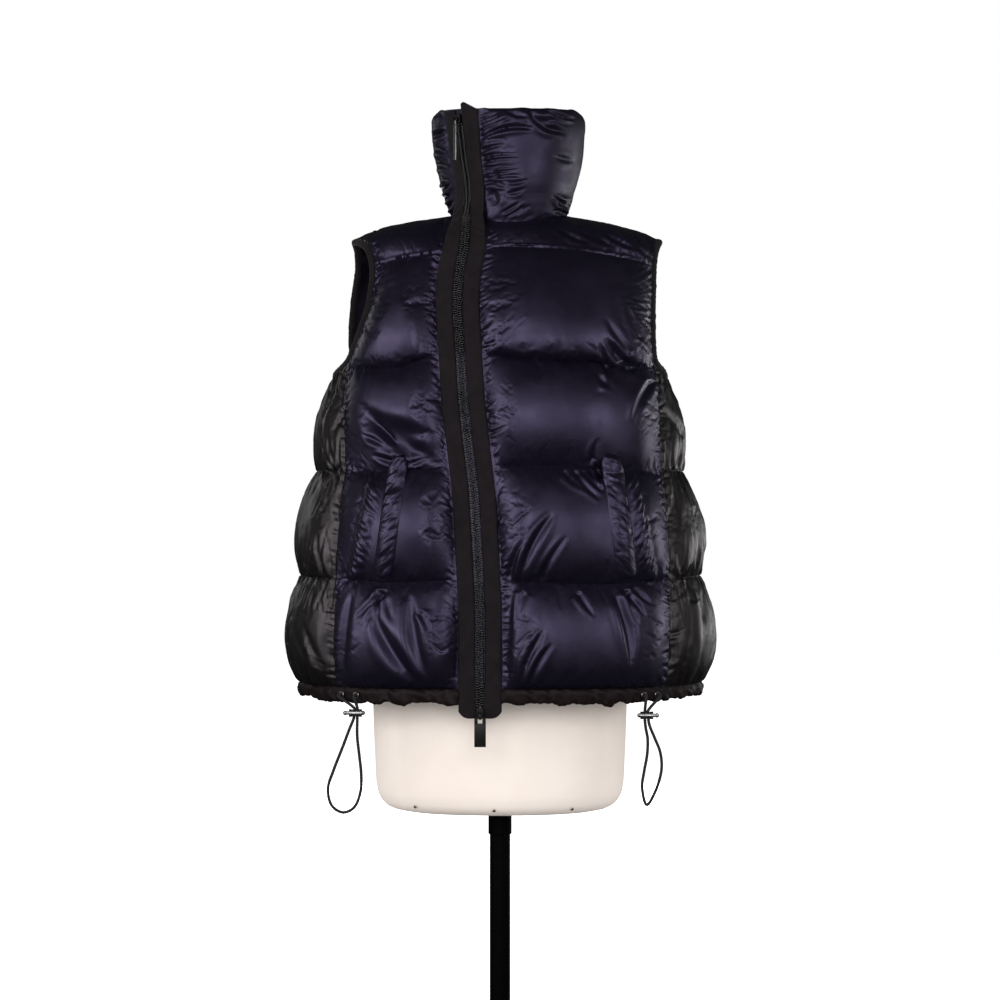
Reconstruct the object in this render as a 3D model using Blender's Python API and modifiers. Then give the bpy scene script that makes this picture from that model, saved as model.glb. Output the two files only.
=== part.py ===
"""Quilted stand-collar vest on a limbless dress form.

Metres, +Z up, the vest's front faces -Y, +X is to a viewer's right. The origin is
the centre of the underside of the stand's base. Every cloth piece is a closed padded
wall, lofted from one family of horizontal rings: pinched thin along each quilting
seam and crowned between two of them.
"""

import math

import bmesh
import bpy
import numpy as np
from mathutils import Matrix, Vector

# ------------------------------------------------------------------ driving sizes
SEAM_HALF = 0.0025  # half the wall's thickness along a quilting seam
GAP = 0.0004  # clearance between two pieces at a seam
FLANGE = 0.0275  # flat strip of a front beside the zip, under its tape
TAPE_IN, TAPE_OUT = 0.0060, 0.0260  # a zip tape's edges, from the zip's line
TAPE_T = 0.0015
CHAIN_HALF, CHAIN_T = 0.0055, 0.0027
CASING_H, CASING_T = 0.0160, 0.0090
BINDING_W, BINDING_T = 0.0100, 0.0080
CORD_D = 0.0036
NECK_STEP = 0.0064  # the collar's lower edge above the neck seam's line

# Body rings, one row at each quilting seam, from the casing up.
# z_front and z_side: height at the centre and at the side; half_w: half width at the
# sides; shift: the ring's centre in X; d_front, d_back: depth; power: the ring's
# superellipse exponent.
LEVEL_NAMES = ("casing", "seam_4", "seam_3", "seam_2", "seam_1")
LEVEL_COLUMNS = ("z_front", "z_side", "half_w", "shift", "d_front", "d_back", "power")
LEVELS = np.array(
    (
        (0.4690, 0.4690, 0.2610, 0.0010, 0.1860, 0.1760, 2.5),
        (0.6050, 0.6070, 0.2590, 0.0000, 0.1850, 0.1720, 2.5),
        (0.7460, 0.7430, 0.2370, -0.0010, 0.1700, 0.1600, 2.5),
        (0.8900, 0.8830, 0.2140, 0.0000, 0.1540, 0.1500, 2.5),
        (1.0270, 1.0150, 0.2030, 0.0050, 0.1180, 0.1250, 2.5),
    )
)
# Crown of each channel over its seams: outward at the front, at the side and at the
# back, inward, and skew (under 1 lowers the crown).
CROWN_COLUMNS = ("front", "side", "back", "inward", "skew")
CROWNS = np.array(
    (
        (0.0260, 0.0205, 0.0240, 0.0100, 0.72),
        (0.0250, 0.0150, 0.0240, 0.0100, 0.80),
        (0.0230, 0.0110, 0.0220, 0.0095, 0.80),
        (0.0210, 0.0100, 0.0200, 0.0090, 0.85),
        (0.0150, 0.0120, 0.0150, 0.0060, 0.80),
    )
)
# Side seams, as ring angles in degrees from the centre front, at the five levels, and
# the armhole's edges between seam 2 (level 3) and seam 1 (level 4).
SIDE_SEAMS = {
    "left": {"front": (-47.5, -48.5, -50.5, -60.5), "back": (-132, -131, -128, -119)},
    "right": {"front": (48.0, 51.5, 55.5, 63.5), "back": (132, 131, 128, 119)},
}
ARM_LEVEL = (3.0, 3.2, 3.5, 3.8, 4.0)
ARM_EDGES = {
    "left": {"front": (-60.5, -55.5, -49.5, -48.5, -51.0), "back": (-119, -113, -110, -110, -112)},
    "right": {"front": (63.5, 62.5, 64.0, 66.5, 68.5), "back": (119, 113, 110, 110, 112)},
}
ARM_SCOOP = 0.14  # the armhole's lowest point, in levels under seam 2
# Neck seam: an oval, higher at the sides and the back than at the front.
NECK = {"x": 0.0120, "y": -0.0080, "half_w": 0.0720, "front": 0.0890, "back": 0.0720,
        "z_front": 1.0620, "z_side": 1.0760, "z_back": 1.0840}
SHOULDER = {"left_tip": -0.1900, "right_tip": 0.2060, "z_tip": 1.0520, "y": -0.0080}
# Collar rings: height share, centre x, half width, front depth, back depth.
COLLAR = np.array(
    (
        (0.00, 0.0120, 0.0720, 0.0890, 0.0720),
        (0.25, 0.0115, 0.0755, 0.0910, 0.0740),
        (0.60, 0.0115, 0.0850, 0.0950, 0.0790),
        (1.00, 0.0110, 0.0925, 0.0990, 0.0840),
    )
)
COLLAR_TOP = {"front": 1.2080, "side": 1.2140, "back": 1.2150}
COLLAR_CROWN = {"out": 0.0095, "in": 0.0070}
COLLAR_R = 0.0880  # turns distances along the collar into angles
# The zip's line on the body (height, x), and on the collar (height share, degrees).
ZIP_BODY = np.array(
    (
        (0.449, -0.0249), (0.568, -0.0249), (0.647, -0.0287), (0.726, -0.0337),
        (0.764, -0.0388), (0.832, -0.0463), (0.896, -0.0502), (0.958, -0.0544),
        (1.002, -0.0508), (1.033, -0.0440), (1.058, -0.0371),
    )
)
ZIP_COLLAR = np.array(((0.0, -43.0), (0.15, -41.0), (0.35, -41.0), (0.6, -42.0), (1.0, -42.5)))
ZIP_DROP = 0.0205  # how far the tapes hang below the casing
# Slanted pocket welts on channel 2: centre x at the lower and upper end, width.
WELTS = {"left": (-0.1525, -0.1310, 0.026), "right": (0.1610, 0.1400, 0.028)}
WELT_V = (1.03, 2.11)
WELT_T = 0.0060
# Dress form rings: height, half width, front depth, back depth.
FORM = np.array(
    (
        (0.3000, 0.1280, 0.0900, 0.0880), (0.3030, 0.1420, 0.1030, 0.1010),
        (0.3090, 0.1520, 0.1120, 0.1100), (0.3180, 0.1585, 0.1170, 0.1160),
        (0.3320, 0.1625, 0.1200, 0.1190), (0.3700, 0.1645, 0.1210, 0.1210),
        (0.4400, 0.1670, 0.1200, 0.1240), (0.5100, 0.1650, 0.1160, 0.1230),
        (0.5800, 0.1500, 0.1080, 0.1080), (0.6500, 0.1340, 0.1020, 0.0930),
        (0.7200, 0.1310, 0.1030, 0.0920), (0.8000, 0.1390, 0.1140, 0.1020),
        (0.8700, 0.1470, 0.1200, 0.1080), (0.9300, 0.1510, 0.1150, 0.1080),
        (0.9800, 0.1500, 0.0980, 0.1000), (1.0150, 0.1420, 0.0780, 0.0860),
        (1.0320, 0.1220, 0.0660, 0.0720), (1.0440, 0.0930, 0.0580, 0.0620),
        (1.0540, 0.0680, 0.0540, 0.0560), (1.0680, 0.0545, 0.0510, 0.0520),
        (1.0900, 0.0510, 0.0490, 0.0490), (1.1450, 0.0490, 0.0480, 0.0470),
        (1.1500, 0.0455, 0.0440, 0.0430),
    )
)
FORM_POWER, FORM_Y = 2.25, -0.004
SOCKET_R, SOCKET_Z = 0.0155, (0.2650, 0.2997)
POLE_R, POLE_Z = 0.0135, (0.0123, 0.2647)
BASE_R, BASE_H = 0.1800, 0.0120
# Free routes of the two drawcord loops below their locks: x, z, and y from the lock.
LOCKS = {"left": (-0.1822, -0.1620, 0.4375), "right": (0.1850, -0.1620, 0.4345)}
LOOP_LEFT = (
    (-0.1895, 0.4180, 0.0000), (-0.1990, 0.3930, 0.0008), (-0.2100, 0.3650, 0.0014),
    (-0.2168, 0.3430, 0.0018), (-0.2130, 0.3220, 0.0018), (-0.1985, 0.3120, 0.0016),
    (-0.1835, 0.3190, 0.0014), (-0.1760, 0.3380, 0.0010), (-0.1750, 0.3600, 0.0006),
    (-0.1775, 0.3850, 0.0002), (-0.1800, 0.4080, 0.0000),
)
LOOP_RIGHT = (
    (0.1838, 0.4180, 0.0000), (0.1862, 0.4040, 0.0000), (0.1855, 0.3850, 0.0004),
    (0.1818, 0.3640, 0.0008), (0.1792, 0.3430, 0.0010), (0.1850, 0.3215, 0.0012),
    (0.1965, 0.3400, 0.0010), (0.2035, 0.3650, 0.0006), (0.2022, 0.3870, 0.0003),
    (0.1950, 0.4060, 0.0000), (0.1895, 0.4190, 0.0000),
)
STRAND_HALF = 0.0023  # half the distance between the two strands in a lock

# ------------------------------------------------------------------ scene setup
for ob in list(bpy.data.objects):
    bpy.data.objects.remove(ob, do_unlink=True)
PARTS = bpy.data.collections.new("puffer_vest_on_dress_form")
CUTTERS = bpy.data.collections.new("cutters")
bpy.context.scene.collection.children.link(PARTS)
bpy.context.scene.collection.children.link(CUTTERS)


def material(name, color, roughness, metallic=0.0):
    mat = bpy.data.materials.new(name)
    mat.use_nodes = True
    p = mat.node_tree.nodes["Principled BSDF"]
    p.inputs["Base Color"].default_value = (*color, 1.0)
    p.inputs["Roughness"].default_value = roughness
    p.inputs["Metallic"].default_value = metallic
    return mat


MATS = {
    "nylon": material("navy_nylon", (0.014, 0.012, 0.030), 0.32),
    "side_nylon": material("black_nylon", (0.012, 0.011, 0.014), 0.34),
    "tape": material("black_grosgrain", (0.011, 0.010, 0.010), 0.85),
    "teeth": material("zip_teeth", (0.006, 0.006, 0.007), 0.28, 0.6),
    "hardware": material("pewter", (0.36, 0.36, 0.37), 0.35, 1.0),
    "black_metal": material("black_metal", (0.010, 0.010, 0.011), 0.35, 0.8),
    "casing": material("casing_taffeta", (0.016, 0.010, 0.009), 0.5),
    "cord": material("elastic_cord", (0.020, 0.022, 0.023), 0.7),
    "form": material("form_linen", (0.93, 0.84, 0.77), 0.8),
    "stand": material("stand_enamel", (0.006, 0.006, 0.006), 0.35, 0.3),
}


def add(name, bm, mat, smooth=True):
    """A mesh object from a bmesh, with its faces turned outwards."""
    bmesh.ops.recalc_face_normals(bm, faces=bm.faces)
    me = bpy.data.meshes.new(name)
    bm.to_mesh(me)
    bm.free()
    if smooth:
        me.shade_smooth()
        me.set_sharp_from_angle(angle=math.radians(40))
    ob = bpy.data.objects.new(name, me)
    me.materials.append(MATS[mat])
    PARTS.objects.link(ob)
    return ob


# ------------------------------------------------------------------ the vest's surface
def column(t, k):
    return np.interp(t, np.arange(len(LEVELS)), LEVELS[:, k])


def ring(t, phi):
    """Point of the body's middle surface at level t and ring angle phi."""
    z0, z1, a, sx, bf, bb, n = (column(t, k) for k in range(7))
    c, s = np.cos(phi), np.sin(phi)
    e = 2.0 / n
    x = sx + a * np.sign(s) * np.abs(s) ** e
    y = -np.where(c > 0, bf, bb) * np.sign(c) * np.abs(c) ** e
    w = c * c
    return np.stack([x, y, z0 * w + z1 * (1 - w)], -1)


def angle_of_x(t, x):
    r = (x - column(t, 3)) / column(t, 2)
    return np.arcsin(np.clip(np.sign(r) * np.abs(r) ** (column(t, 6) / 2), -1, 1))


def zip_x(z):
    return np.interp(z, ZIP_BODY[:, 0], ZIP_BODY[:, 1])


def by_length(points, shares):
    """Points at given shares of a polyline's length."""
    d = np.concatenate([[0], np.cumsum(np.linalg.norm(np.diff(points, axis=0), axis=1))])
    d /= d[-1]
    return np.stack([np.interp(shares, d, points[:, k]) for k in range(3)], -1)


def neckline(psi):
    """The neck seam at angle psi from the centre front."""
    c, s = np.cos(psi), np.sin(psi)
    y = NECK["y"] - np.where(c > 0, NECK["front"], NECK["back"]) * c
    z_end = np.where(c > 0, NECK["z_front"], NECK["z_back"])
    z = NECK["z_side"] + (z_end - NECK["z_side"]) * c * c
    return np.stack([NECK["x"] + NECK["half_w"] * s, y, z], -1)


def zip_psi(v):
    return np.radians(np.interp(v, ZIP_COLLAR[:, 0], ZIP_COLLAR[:, 1]))


def top_line(side, face):
    """Neck seam and then shoulder seam, from the inner edge to the shoulder's tip."""
    sign = -1.0 if side == "left" else 1.0
    if face == "front":
        psi = np.linspace(float(zip_psi(0.0)), sign * math.pi / 2, 40)
    else:
        psi = np.linspace(math.pi, sign * math.pi / 2 + (2 * math.pi if sign < 0 else 0), 40)
    neck = neckline(psi)
    tip = np.array((SHOULDER[side + "_tip"], SHOULDER["y"], SHOULDER["z_tip"]))
    line = neck[-1] + (tip - neck[-1]) * np.linspace(0, 1, 30)[1:, None]
    return np.concatenate([neck, line])


def shoulder_rows(low, high, s):
    """Rounds over from the seam below (low) to the top line (high) at share s."""
    near = 1.0 - smooth_step((np.abs(high[..., 0] - NECK["x"]) - 0.07) / 0.06)
    mid = low + (high - low) * np.stack([0.35 + 0.0 * near, 0.16 + 0.12 * near, 0.86 - 0.12 * near], -1)
    return (1 - s) ** 2 * low + 2 * s * (1 - s) * mid + s * s * high


class Panel:
    """A patch of the vest: row(v) is its section at level v, from u = 0 to 1."""

    def __init__(self, v0, v1, row):
        self.v0, self.v1, self.row = v0, v1, row

    def line(self, v, u):
        return by_length(self.row(v), u)

    def length(self, v):
        return float(np.linalg.norm(np.diff(self.row(v), axis=0), axis=1).sum())


def front_row(side):
    sign = -1.0 if side == "left" else 1.0
    top = top_line(side, "front")

    def row(v):
        t = min(v, 4.0)
        z = float(column(t, 0))
        a_in = float(angle_of_x(t, zip_x(z)))
        if t <= 3.0:
            a_out = np.interp(t, range(4), SIDE_SEAMS[side]["front"])
        else:
            a_out = np.interp(t, ARM_LEVEL, ARM_EDGES[side]["front"])
        low = ring(t, np.linspace(a_in, math.radians(float(a_out)), 81))
        if v <= 4.0:
            return low
        shares = np.linspace(0, 1, 81)
        return shoulder_rows(by_length(low, shares), by_length(top, shares), v - 4.0)

    return row


def back_row(v):
    t = min(v, 4.0)
    ends = []
    for side in ("right", "left"):
        if t <= 3.0:
            ends.append(float(np.interp(t, range(4), SIDE_SEAMS[side]["back"])))
        else:
            ends.append(float(np.interp(t, ARM_LEVEL, ARM_EDGES[side]["back"])))
    low = ring(t, np.radians(np.linspace(ends[0], ends[1] + 360.0, 161)))
    if v <= 4.0:
        return low
    top = np.concatenate([top_line("right", "back")[::-1], top_line("left", "back")[1:]])
    shares = np.linspace(0, 1, 161)
    return shoulder_rows(by_length(low, shares), by_length(top, shares), v - 4.0)


def side_row(side):
    def row(v):
        # above seam 3 the rows sag towards the armhole's rounded lower edge
        share = np.linspace(0, 1, 61)
        t = v - max(v - 2.0, 0.0) * ARM_SCOOP * np.sin(np.pi * share) ** 0.7
        a = np.interp(t, range(4), SIDE_SEAMS[side]["front"])
        b = np.interp(t, range(4), SIDE_SEAMS[side]["back"])
        return ring(t, np.radians(a + (b - a) * share))

    return row


PANELS = {
    "front_left": Panel(0.0, 5.0, front_row("left")),
    "front_right": Panel(0.0, 5.0, front_row("right")),
    "back": Panel(0.0, 5.0, back_row),
    "side_left": Panel(0.0, 3.0, side_row("left")),
    "side_right": Panel(0.0, 3.0, side_row("right")),
}
OUTWARD = {"front_left": 1, "front_right": -1, "back": -1, "side_left": 1, "side_right": -1}
ZIP_EDGE = {"front_left": (True, False), "front_right": (True, False)}


def smooth_step(x):
    x = np.clip(x, 0, 1)
    return x * x * (3 - 2 * x)


def panel_grid(name, grid_us, vs):
    """Middle points, outward normals and edge distances of a panel's grid."""
    panel = PANELS[name]
    pts, nor, d_in, d_out = [], [], [], []
    e = 0.004
    for i, v in enumerate(vs):
        us = grid_us if grid_us.ndim == 1 else grid_us[i]
        va, vb = max(panel.v0, v - e), min(panel.v1, v + e)
        row = panel.line(v, us)
        length = panel.length(v)
        along = panel.line(v, np.clip(us + 0.004, 0, 1)) - panel.line(v, np.clip(us - 0.004, 0, 1))
        up = panel.line(vb, us) - panel.line(va, us)
        n = np.cross(up, along) * OUTWARD[name]
        n /= np.linalg.norm(n, axis=1)[:, None]
        if v > 4.4:  # both sides of the shoulder seam share one direction
            k = float(smooth_step((v - 4.4) / 0.6))
            top = np.stack([0.15 * np.sign(row[:, 0]), np.zeros(len(us)), np.ones(len(us))], -1)
            top /= np.linalg.norm(top, axis=1)[:, None]
            n = n * (1 - k) + top * k
            n /= np.linalg.norm(n, axis=1)[:, None]
        pts.append(row)
        nor.append(n)
        d_in.append(us * length)
        d_out.append((1 - us) * length)
    return tuple(np.array(a) for a in (pts, nor, d_in, d_out))


def crown(name, pts, vs, d_in, d_out):
    """Outward and inward crown over the middle surface at each grid point."""
    channel = np.clip(np.floor(vs - 1e-6).astype(int), 0, 4)
    share = np.clip(vs - channel, 0, 1)
    front, side, back, inward, skew = (CROWNS[channel, k][:, None] for k in range(5))
    profile = np.sin(np.pi * share[:, None] ** skew) ** np.where(channel == 4, 1.0, 0.72)[:, None]
    side_ness = np.clip((np.abs(pts[..., 0]) - 0.09) / 0.11, 0, 1) ** 1.5
    middle = np.where(pts[..., 1] < 0, front, back)
    height = middle + (side - middle) * side_ness
    # the shoulder channel is short beside the neck, so its crown is low there
    near = 0.35 + 0.65 * smooth_step((np.abs(pts[..., 0] - NECK["x"]) - 0.03) / 0.07)
    height = np.where((channel[:, None] == 4) & (pts[..., 1] < 0), height * near, height)
    on_arm = vs[:, None] > 3.0
    if name in ZIP_EDGE:
        edge_a = smooth_step((d_in - FLANGE) / 0.045) ** 0.7
    elif name == "back":
        edge_a = np.where(on_arm, smooth_step(d_in / 0.035), 0.35 + 0.65 * smooth_step(d_in / 0.04))
    else:
        edge_a = 0.35 + 0.65 * smooth_step(d_in / 0.04)
    edge_b = 0.35 + 0.65 * smooth_step(d_out / 0.04)
    if not name.startswith("side"):
        edge_b = np.where(on_arm, smooth_step(d_out / 0.035), edge_b)
    f = profile * edge_a * edge_b
    return f * height, f * inward


def wall(name, outer, inner, mat, close=False):
    """Closed wall between an outer and an inner grid of rows of points."""
    rows, cols = outer.shape[:2]
    bm = bmesh.new()
    vo = [[bm.verts.new(p) for p in r] for r in outer]
    vi = [[bm.verts.new(p) for p in r] for r in inner]
    span = cols if close else cols - 1
    for i in range(rows - 1):
        for j in range(span):
            k = (j + 1) % cols
            bm.faces.new((vo[i][j], vo[i][k], vo[i + 1][k], vo[i + 1][j]))
            bm.faces.new((vi[i][j], vi[i + 1][j], vi[i + 1][k], vi[i][k]))
    for j in range(span):
        k = (j + 1) % cols
        bm.faces.new((vo[0][j], vi[0][j], vi[0][k], vo[0][k]))
        bm.faces.new((vo[-1][j], vo[-1][k], vi[-1][k], vi[-1][j]))
    if not close:
        for i in range(rows - 1):
            bm.faces.new((vo[i][0], vo[i + 1][0], vi[i + 1][0], vi[i][0]))
            bm.faces.new((vo[i][-1], vi[i][-1], vi[i + 1][-1], vo[i + 1][-1]))
    return add(name, bm, mat)


ROW_SHARES = (0.0, 0.08, 0.28, 0.55, 0.82)


def panel_rows(name):
    panel = PANELS[name]
    vs = [c + s for c in range(int(panel.v0), int(panel.v1)) for s in ROW_SHARES]
    vs.append(panel.v1)
    vs = np.array(vs)
    vs[0] += GAP / 2 / 0.14
    vs[-1] -= GAP / 2 / (0.10 if panel.v1 > 4 else 0.14)
    return vs


PANEL_COLUMNS = {  # distances from the inner edge, count between, distances from the outer
    "front_left": ((0.0, FLANGE, 0.039, 0.056), 3, (0.034, 0.012, 0.0)),
    "front_right": ((0.0, FLANGE, 0.039, 0.056), 6, (0.034, 0.012, 0.0)),
    "back": ((0.0, 0.012, 0.034), 9, (0.034, 0.012, 0.0)),
    "side_left": ((0.0, 0.012, 0.034), 3, (0.034, 0.012, 0.0)),
    "side_right": ((0.0, 0.012, 0.034), 3, (0.034, 0.012, 0.0)),
}


def panel_columns(name, vs):
    first, count, last = PANEL_COLUMNS[name]
    grid = []
    for v in vs:
        length = PANELS[name].length(v)
        a, b = first[-1] / length, 1 - last[0] / length
        us = [d / length for d in first[:-1]] + list(np.linspace(a, b, count + 2))
        us += [1 - d / length for d in last[1:]]
        us[0], us[-1] = GAP / 2 / length, 1 - GAP / 2 / length
        grid.append(us)
    return np.array(grid)


def build_panel(name, mat):
    vs = panel_rows(name)
    us = panel_columns(name, vs)
    pts, nor, d_in, d_out = panel_grid(name, us, vs)
    out, inn = crown(name, pts, vs, d_in, d_out)
    wall(name, pts + nor * (SEAM_HALF + out)[..., None], pts - nor * (SEAM_HALF + inn)[..., None], mat)


for panel_name in ("front_left", "front_right", "back"):
    build_panel(panel_name, "nylon")
for panel_name in ("side_left", "side_right"):
    build_panel(panel_name, "side_nylon")


# ------------------------------------------------------------------ collar
def collar_point(psi, v):
    cx, a, bf, bb = (np.interp(v, COLLAR[:, 0], COLLAR[:, k]) for k in range(1, 5))
    c, s = np.cos(psi), np.sin(psi)
    low = neckline(psi)[..., 2] + NECK_STEP
    end = np.where(c > 0, COLLAR_TOP["front"], COLLAR_TOP["back"])
    high = COLLAR_TOP["side"] + (end - COLLAR_TOP["side"]) * c * c
    return np.stack(
        [cx + a * s, NECK["y"] - np.where(c > 0, bf, bb) * c, low + (high - low) * v], -1
    )


def collar_normal(psi, v):
    e = 1e-3
    along = collar_point(psi + e, v) - collar_point(psi - e, v)
    up = collar_point(psi, np.minimum(v + e, 1)) - collar_point(psi, np.maximum(v - e, 0))
    n = np.cross(along, up)
    return n / np.linalg.norm(n, axis=-1)[..., None]


def build_collar():
    vs = np.array((0.0, 0.05, 0.16, 0.32, 0.50, 0.68, 0.84, 0.94, 0.985, 1.0))
    profile = np.array((0.0, 0.20, 0.62, 0.92, 1.0, 1.0, 0.95, 0.74, 0.36, 0.0))
    edge_share = FLANGE / (2 * math.pi * COLLAR_R)
    first = np.array((0.0, edge_share, edge_share + 0.03, edge_share + 0.065))
    shares = np.concatenate([first, np.linspace(0.15, 0.85, 19), 1 - first[::-1]])
    outer, inner = [], []
    for v, f in zip(vs, profile):
        a = float(zip_psi(v))
        half = GAP / 2 / 0.08
        psi = a + half + (2 * math.pi - 2 * half) * shares
        p, n = collar_point(psi, v), collar_normal(psi, v)
        run = (2 * math.pi * COLLAR_R) * np.minimum(shares, 1 - shares)
        edge = smooth_step((run - FLANGE) / 0.03) ** 0.8
        thin = SEAM_HALF * (0.6 if v == 1.0 else 1.0)
        outer.append(p + n * (thin + COLLAR_CROWN["out"] * f * edge)[:, None])
        inner.append(p - n * (thin + COLLAR_CROWN["in"] * f * edge)[:, None])
    wall("collar", np.array(outer), np.array(inner), "nylon")


build_collar()


# ------------------------------------------------------------------ zip
ZIP_ROWS_BODY = np.concatenate([np.linspace(0.0, 3.8, 20), [3.9, 4.0]])
ZIP_ROWS_COLLAR = (0.05, 0.12, 0.20, 0.30, 0.41, 0.52, 0.63, 0.74, 0.86, 0.985)


def zip_line(d):
    """Points and normals along the zip at the sideways distance d, hem to collar top."""
    pts, nor = [], []
    z0 = LEVELS[0, 0] - CASING_H - ZIP_DROP
    for k in range(3):  # the free ends below the casing
        z = z0 + (LEVELS[0, 0] - z0) * k / 3
        phi = angle_of_x(0.0, zip_x(z) + d)
        p = ring(0.0, phi)
        p[2] = z
        pts.append(p)
        nor.append(np.array((0.0, -1.0, 0.0)))
    for v in ZIP_ROWS_BODY:
        z = float(column(v, 0))
        phi = angle_of_x(v, zip_x(z) + d)
        p, e = ring(v, phi), 1e-3
        n = np.cross(ring(v, phi + e) - ring(v, phi - e), ring(min(v + e, 4), phi) - ring(max(v - e, 0), phi))
        pts.append(p)
        nor.append(n / np.linalg.norm(n))
    low, low_n = pts[-1], nor[-1]
    psi0 = float(zip_psi(0.0)) + d / COLLAR_R
    top, top_n = neckline(psi0), collar_normal(psi0, 0.0)
    for s in (0.2, 0.4, 0.6, 0.8):
        pts.append(shoulder_rows(low, top, s))
        nor.append(low_n * (1 - s) + (np.array((0.0, 0.0, 0.9)) + 0.35 * top_n) * s)
    for v in ZIP_ROWS_COLLAR:
        psi = float(zip_psi(v)) + d / COLLAR_R
        pts.append(collar_point(psi, v))
        nor.append(collar_normal(psi, v))
    pts, nor = np.array(pts), np.array(nor)
    first = 3 + len(ZIP_ROWS_BODY) + 3
    for _ in range(2):  # ease the turn at the neck seam
        for arr in (pts, nor):
            mid = (arr[:-2] + 2 * arr[1:-1] + arr[2:]) / 4
            arr[first:first + 3] = mid[first - 1:first + 2]
    nor /= np.linalg.norm(nor, axis=1)[:, None]
    lift = 0.0045 * np.exp(-(((np.arange(len(pts)) - (first + 0.2)) / 2.8) ** 2))
    return pts + nor * lift[:, None], nor


def at_index(values, where):
    return np.stack([np.interp(where, np.arange(len(values)), values[:, k]) for k in range(3)], -1)


def index_at_height(z):
    heights = zip_line(0.0)[0][:, 2]
    return float(np.interp(z, heights, np.arange(len(heights))))


def strip(name, ds, low, high, mat, z_from=None, z_to=None):
    """A flat strip along the zip between two heights, its edges at the distances ds."""
    lines = [zip_line(d) for d in ds]
    last = len(lines[0][0]) - 1
    a = 0.0 if z_from is None else index_at_height(z_from)
    b = float(last) if z_to is None else index_at_height(z_to)
    where = np.array([a] + [float(i) for i in range(math.floor(a) + 1, math.ceil(b))] + [b])
    pts = np.stack([at_index(p, where) for p, _ in lines], 1)
    nor = np.stack([at_index(n, where) for _, n in lines], 1)
    wall(name, pts + nor * high, pts + nor * low, mat)


TAPE_LOW = SEAM_HALF + 0.0006
SLIDER_Z = {"top": 1.1980, "bottom": 0.4400}
strip("zip_tape_left", (-TAPE_OUT, -0.017, -TAPE_IN), TAPE_LOW, TAPE_LOW + TAPE_T, "tape")
strip("zip_tape_right", (TAPE_IN, 0.017, TAPE_OUT), TAPE_LOW, TAPE_LOW + TAPE_T, "tape")
strip(
    "zip_chain", (-CHAIN_HALF, 0.0, CHAIN_HALF), TAPE_LOW, TAPE_LOW + CHAIN_T, "teeth",
    SLIDER_Z["bottom"] + 0.0075, SLIDER_Z["top"] - 0.0075,
)


def zip_frame(z):
    """Origin, sideways, along and outward directions on the zip's line at height z."""
    pts, nor = zip_line(0.0)
    w = index_at_height(z)
    o, n = at_index(pts, w), at_index(nor, w)
    up = at_index(pts, min(w + 0.5, len(pts) - 1.0)) - at_index(pts, max(w - 0.5, 0.0))
    up /= np.linalg.norm(up)
    side = np.cross(up, n)
    side[2] = 0.0
    side /= np.linalg.norm(side)
    up -= side * up.dot(side)
    up /= np.linalg.norm(up)
    return o, side, up, np.cross(side, up)


def matrix_of(o, x_axis, y_axis, z_axis):
    m = np.eye(4)
    m[:3, 0], m[:3, 1], m[:3, 2], m[:3, 3] = x_axis, y_axis, z_axis, o
    return Matrix([list(r) for r in m])


def solid_box(size, at):
    bm = bmesh.new()
    bmesh.ops.create_cube(bm, size=1.0)
    bmesh.ops.scale(bm, vec=size, verts=bm.verts)
    bmesh.ops.translate(bm, vec=at, verts=bm.verts)
    return bm


def solid_cylinder(radius, length, at, axis="x", segments=20):
    bm = bmesh.new()
    bmesh.ops.create_cone(
        bm, cap_ends=True, segments=segments, radius1=radius, radius2=radius, depth=length
    )
    turn = {"x": Matrix.Rotation(math.pi / 2, 3, "Y"), "y": Matrix.Rotation(math.pi / 2, 3, "X")}
    if axis in turn:
        bmesh.ops.rotate(bm, cent=(0, 0, 0), matrix=turn[axis], verts=bm.verts)
    bmesh.ops.translate(bm, vec=at, verts=bm.verts)
    return bm


def solid_ball(radius, at, segments=12):
    bm = bmesh.new()
    bmesh.ops.create_uvsphere(bm, u_segments=segments, v_segments=segments // 2, radius=radius)
    bmesh.ops.translate(bm, vec=at, verts=bm.verts)
    return bm


def tool(bm, matrix):
    """A helper solid for a Boolean."""
    me = bpy.data.meshes.new("tool")
    bm.to_mesh(me)
    bm.free()
    ob = bpy.data.objects.new("tool", me)
    ob.matrix_world = matrix
    ob.hide_render = True
    ob.display_type = "WIRE"
    CUTTERS.objects.link(ob)
    return ob


def combine(ob, bm, operation):
    mod = ob.modifiers.new(operation.lower(), "BOOLEAN")
    mod.operation = operation
    mod.object = tool(bm, ob.matrix_world.copy())


EAR_X, EAR_T, BAR_R, BAR_OUT = 0.0036, 0.0012, 0.0009, 0.0112
SLIDER_SIZE = (0.0095, 0.0130, 0.0051)
EYE_R, EYE_HOLE, EYE_W = 0.0021, 0.0013, 0.0046
PULLS = {  # width, thickness, length from the bar, square window's size and centre
    "top": (0.0050, 0.0016, 0.0540, None),
    "bottom": (0.0145, 0.0018, 0.0430, (0.0058, -0.0100)),
}


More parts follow.
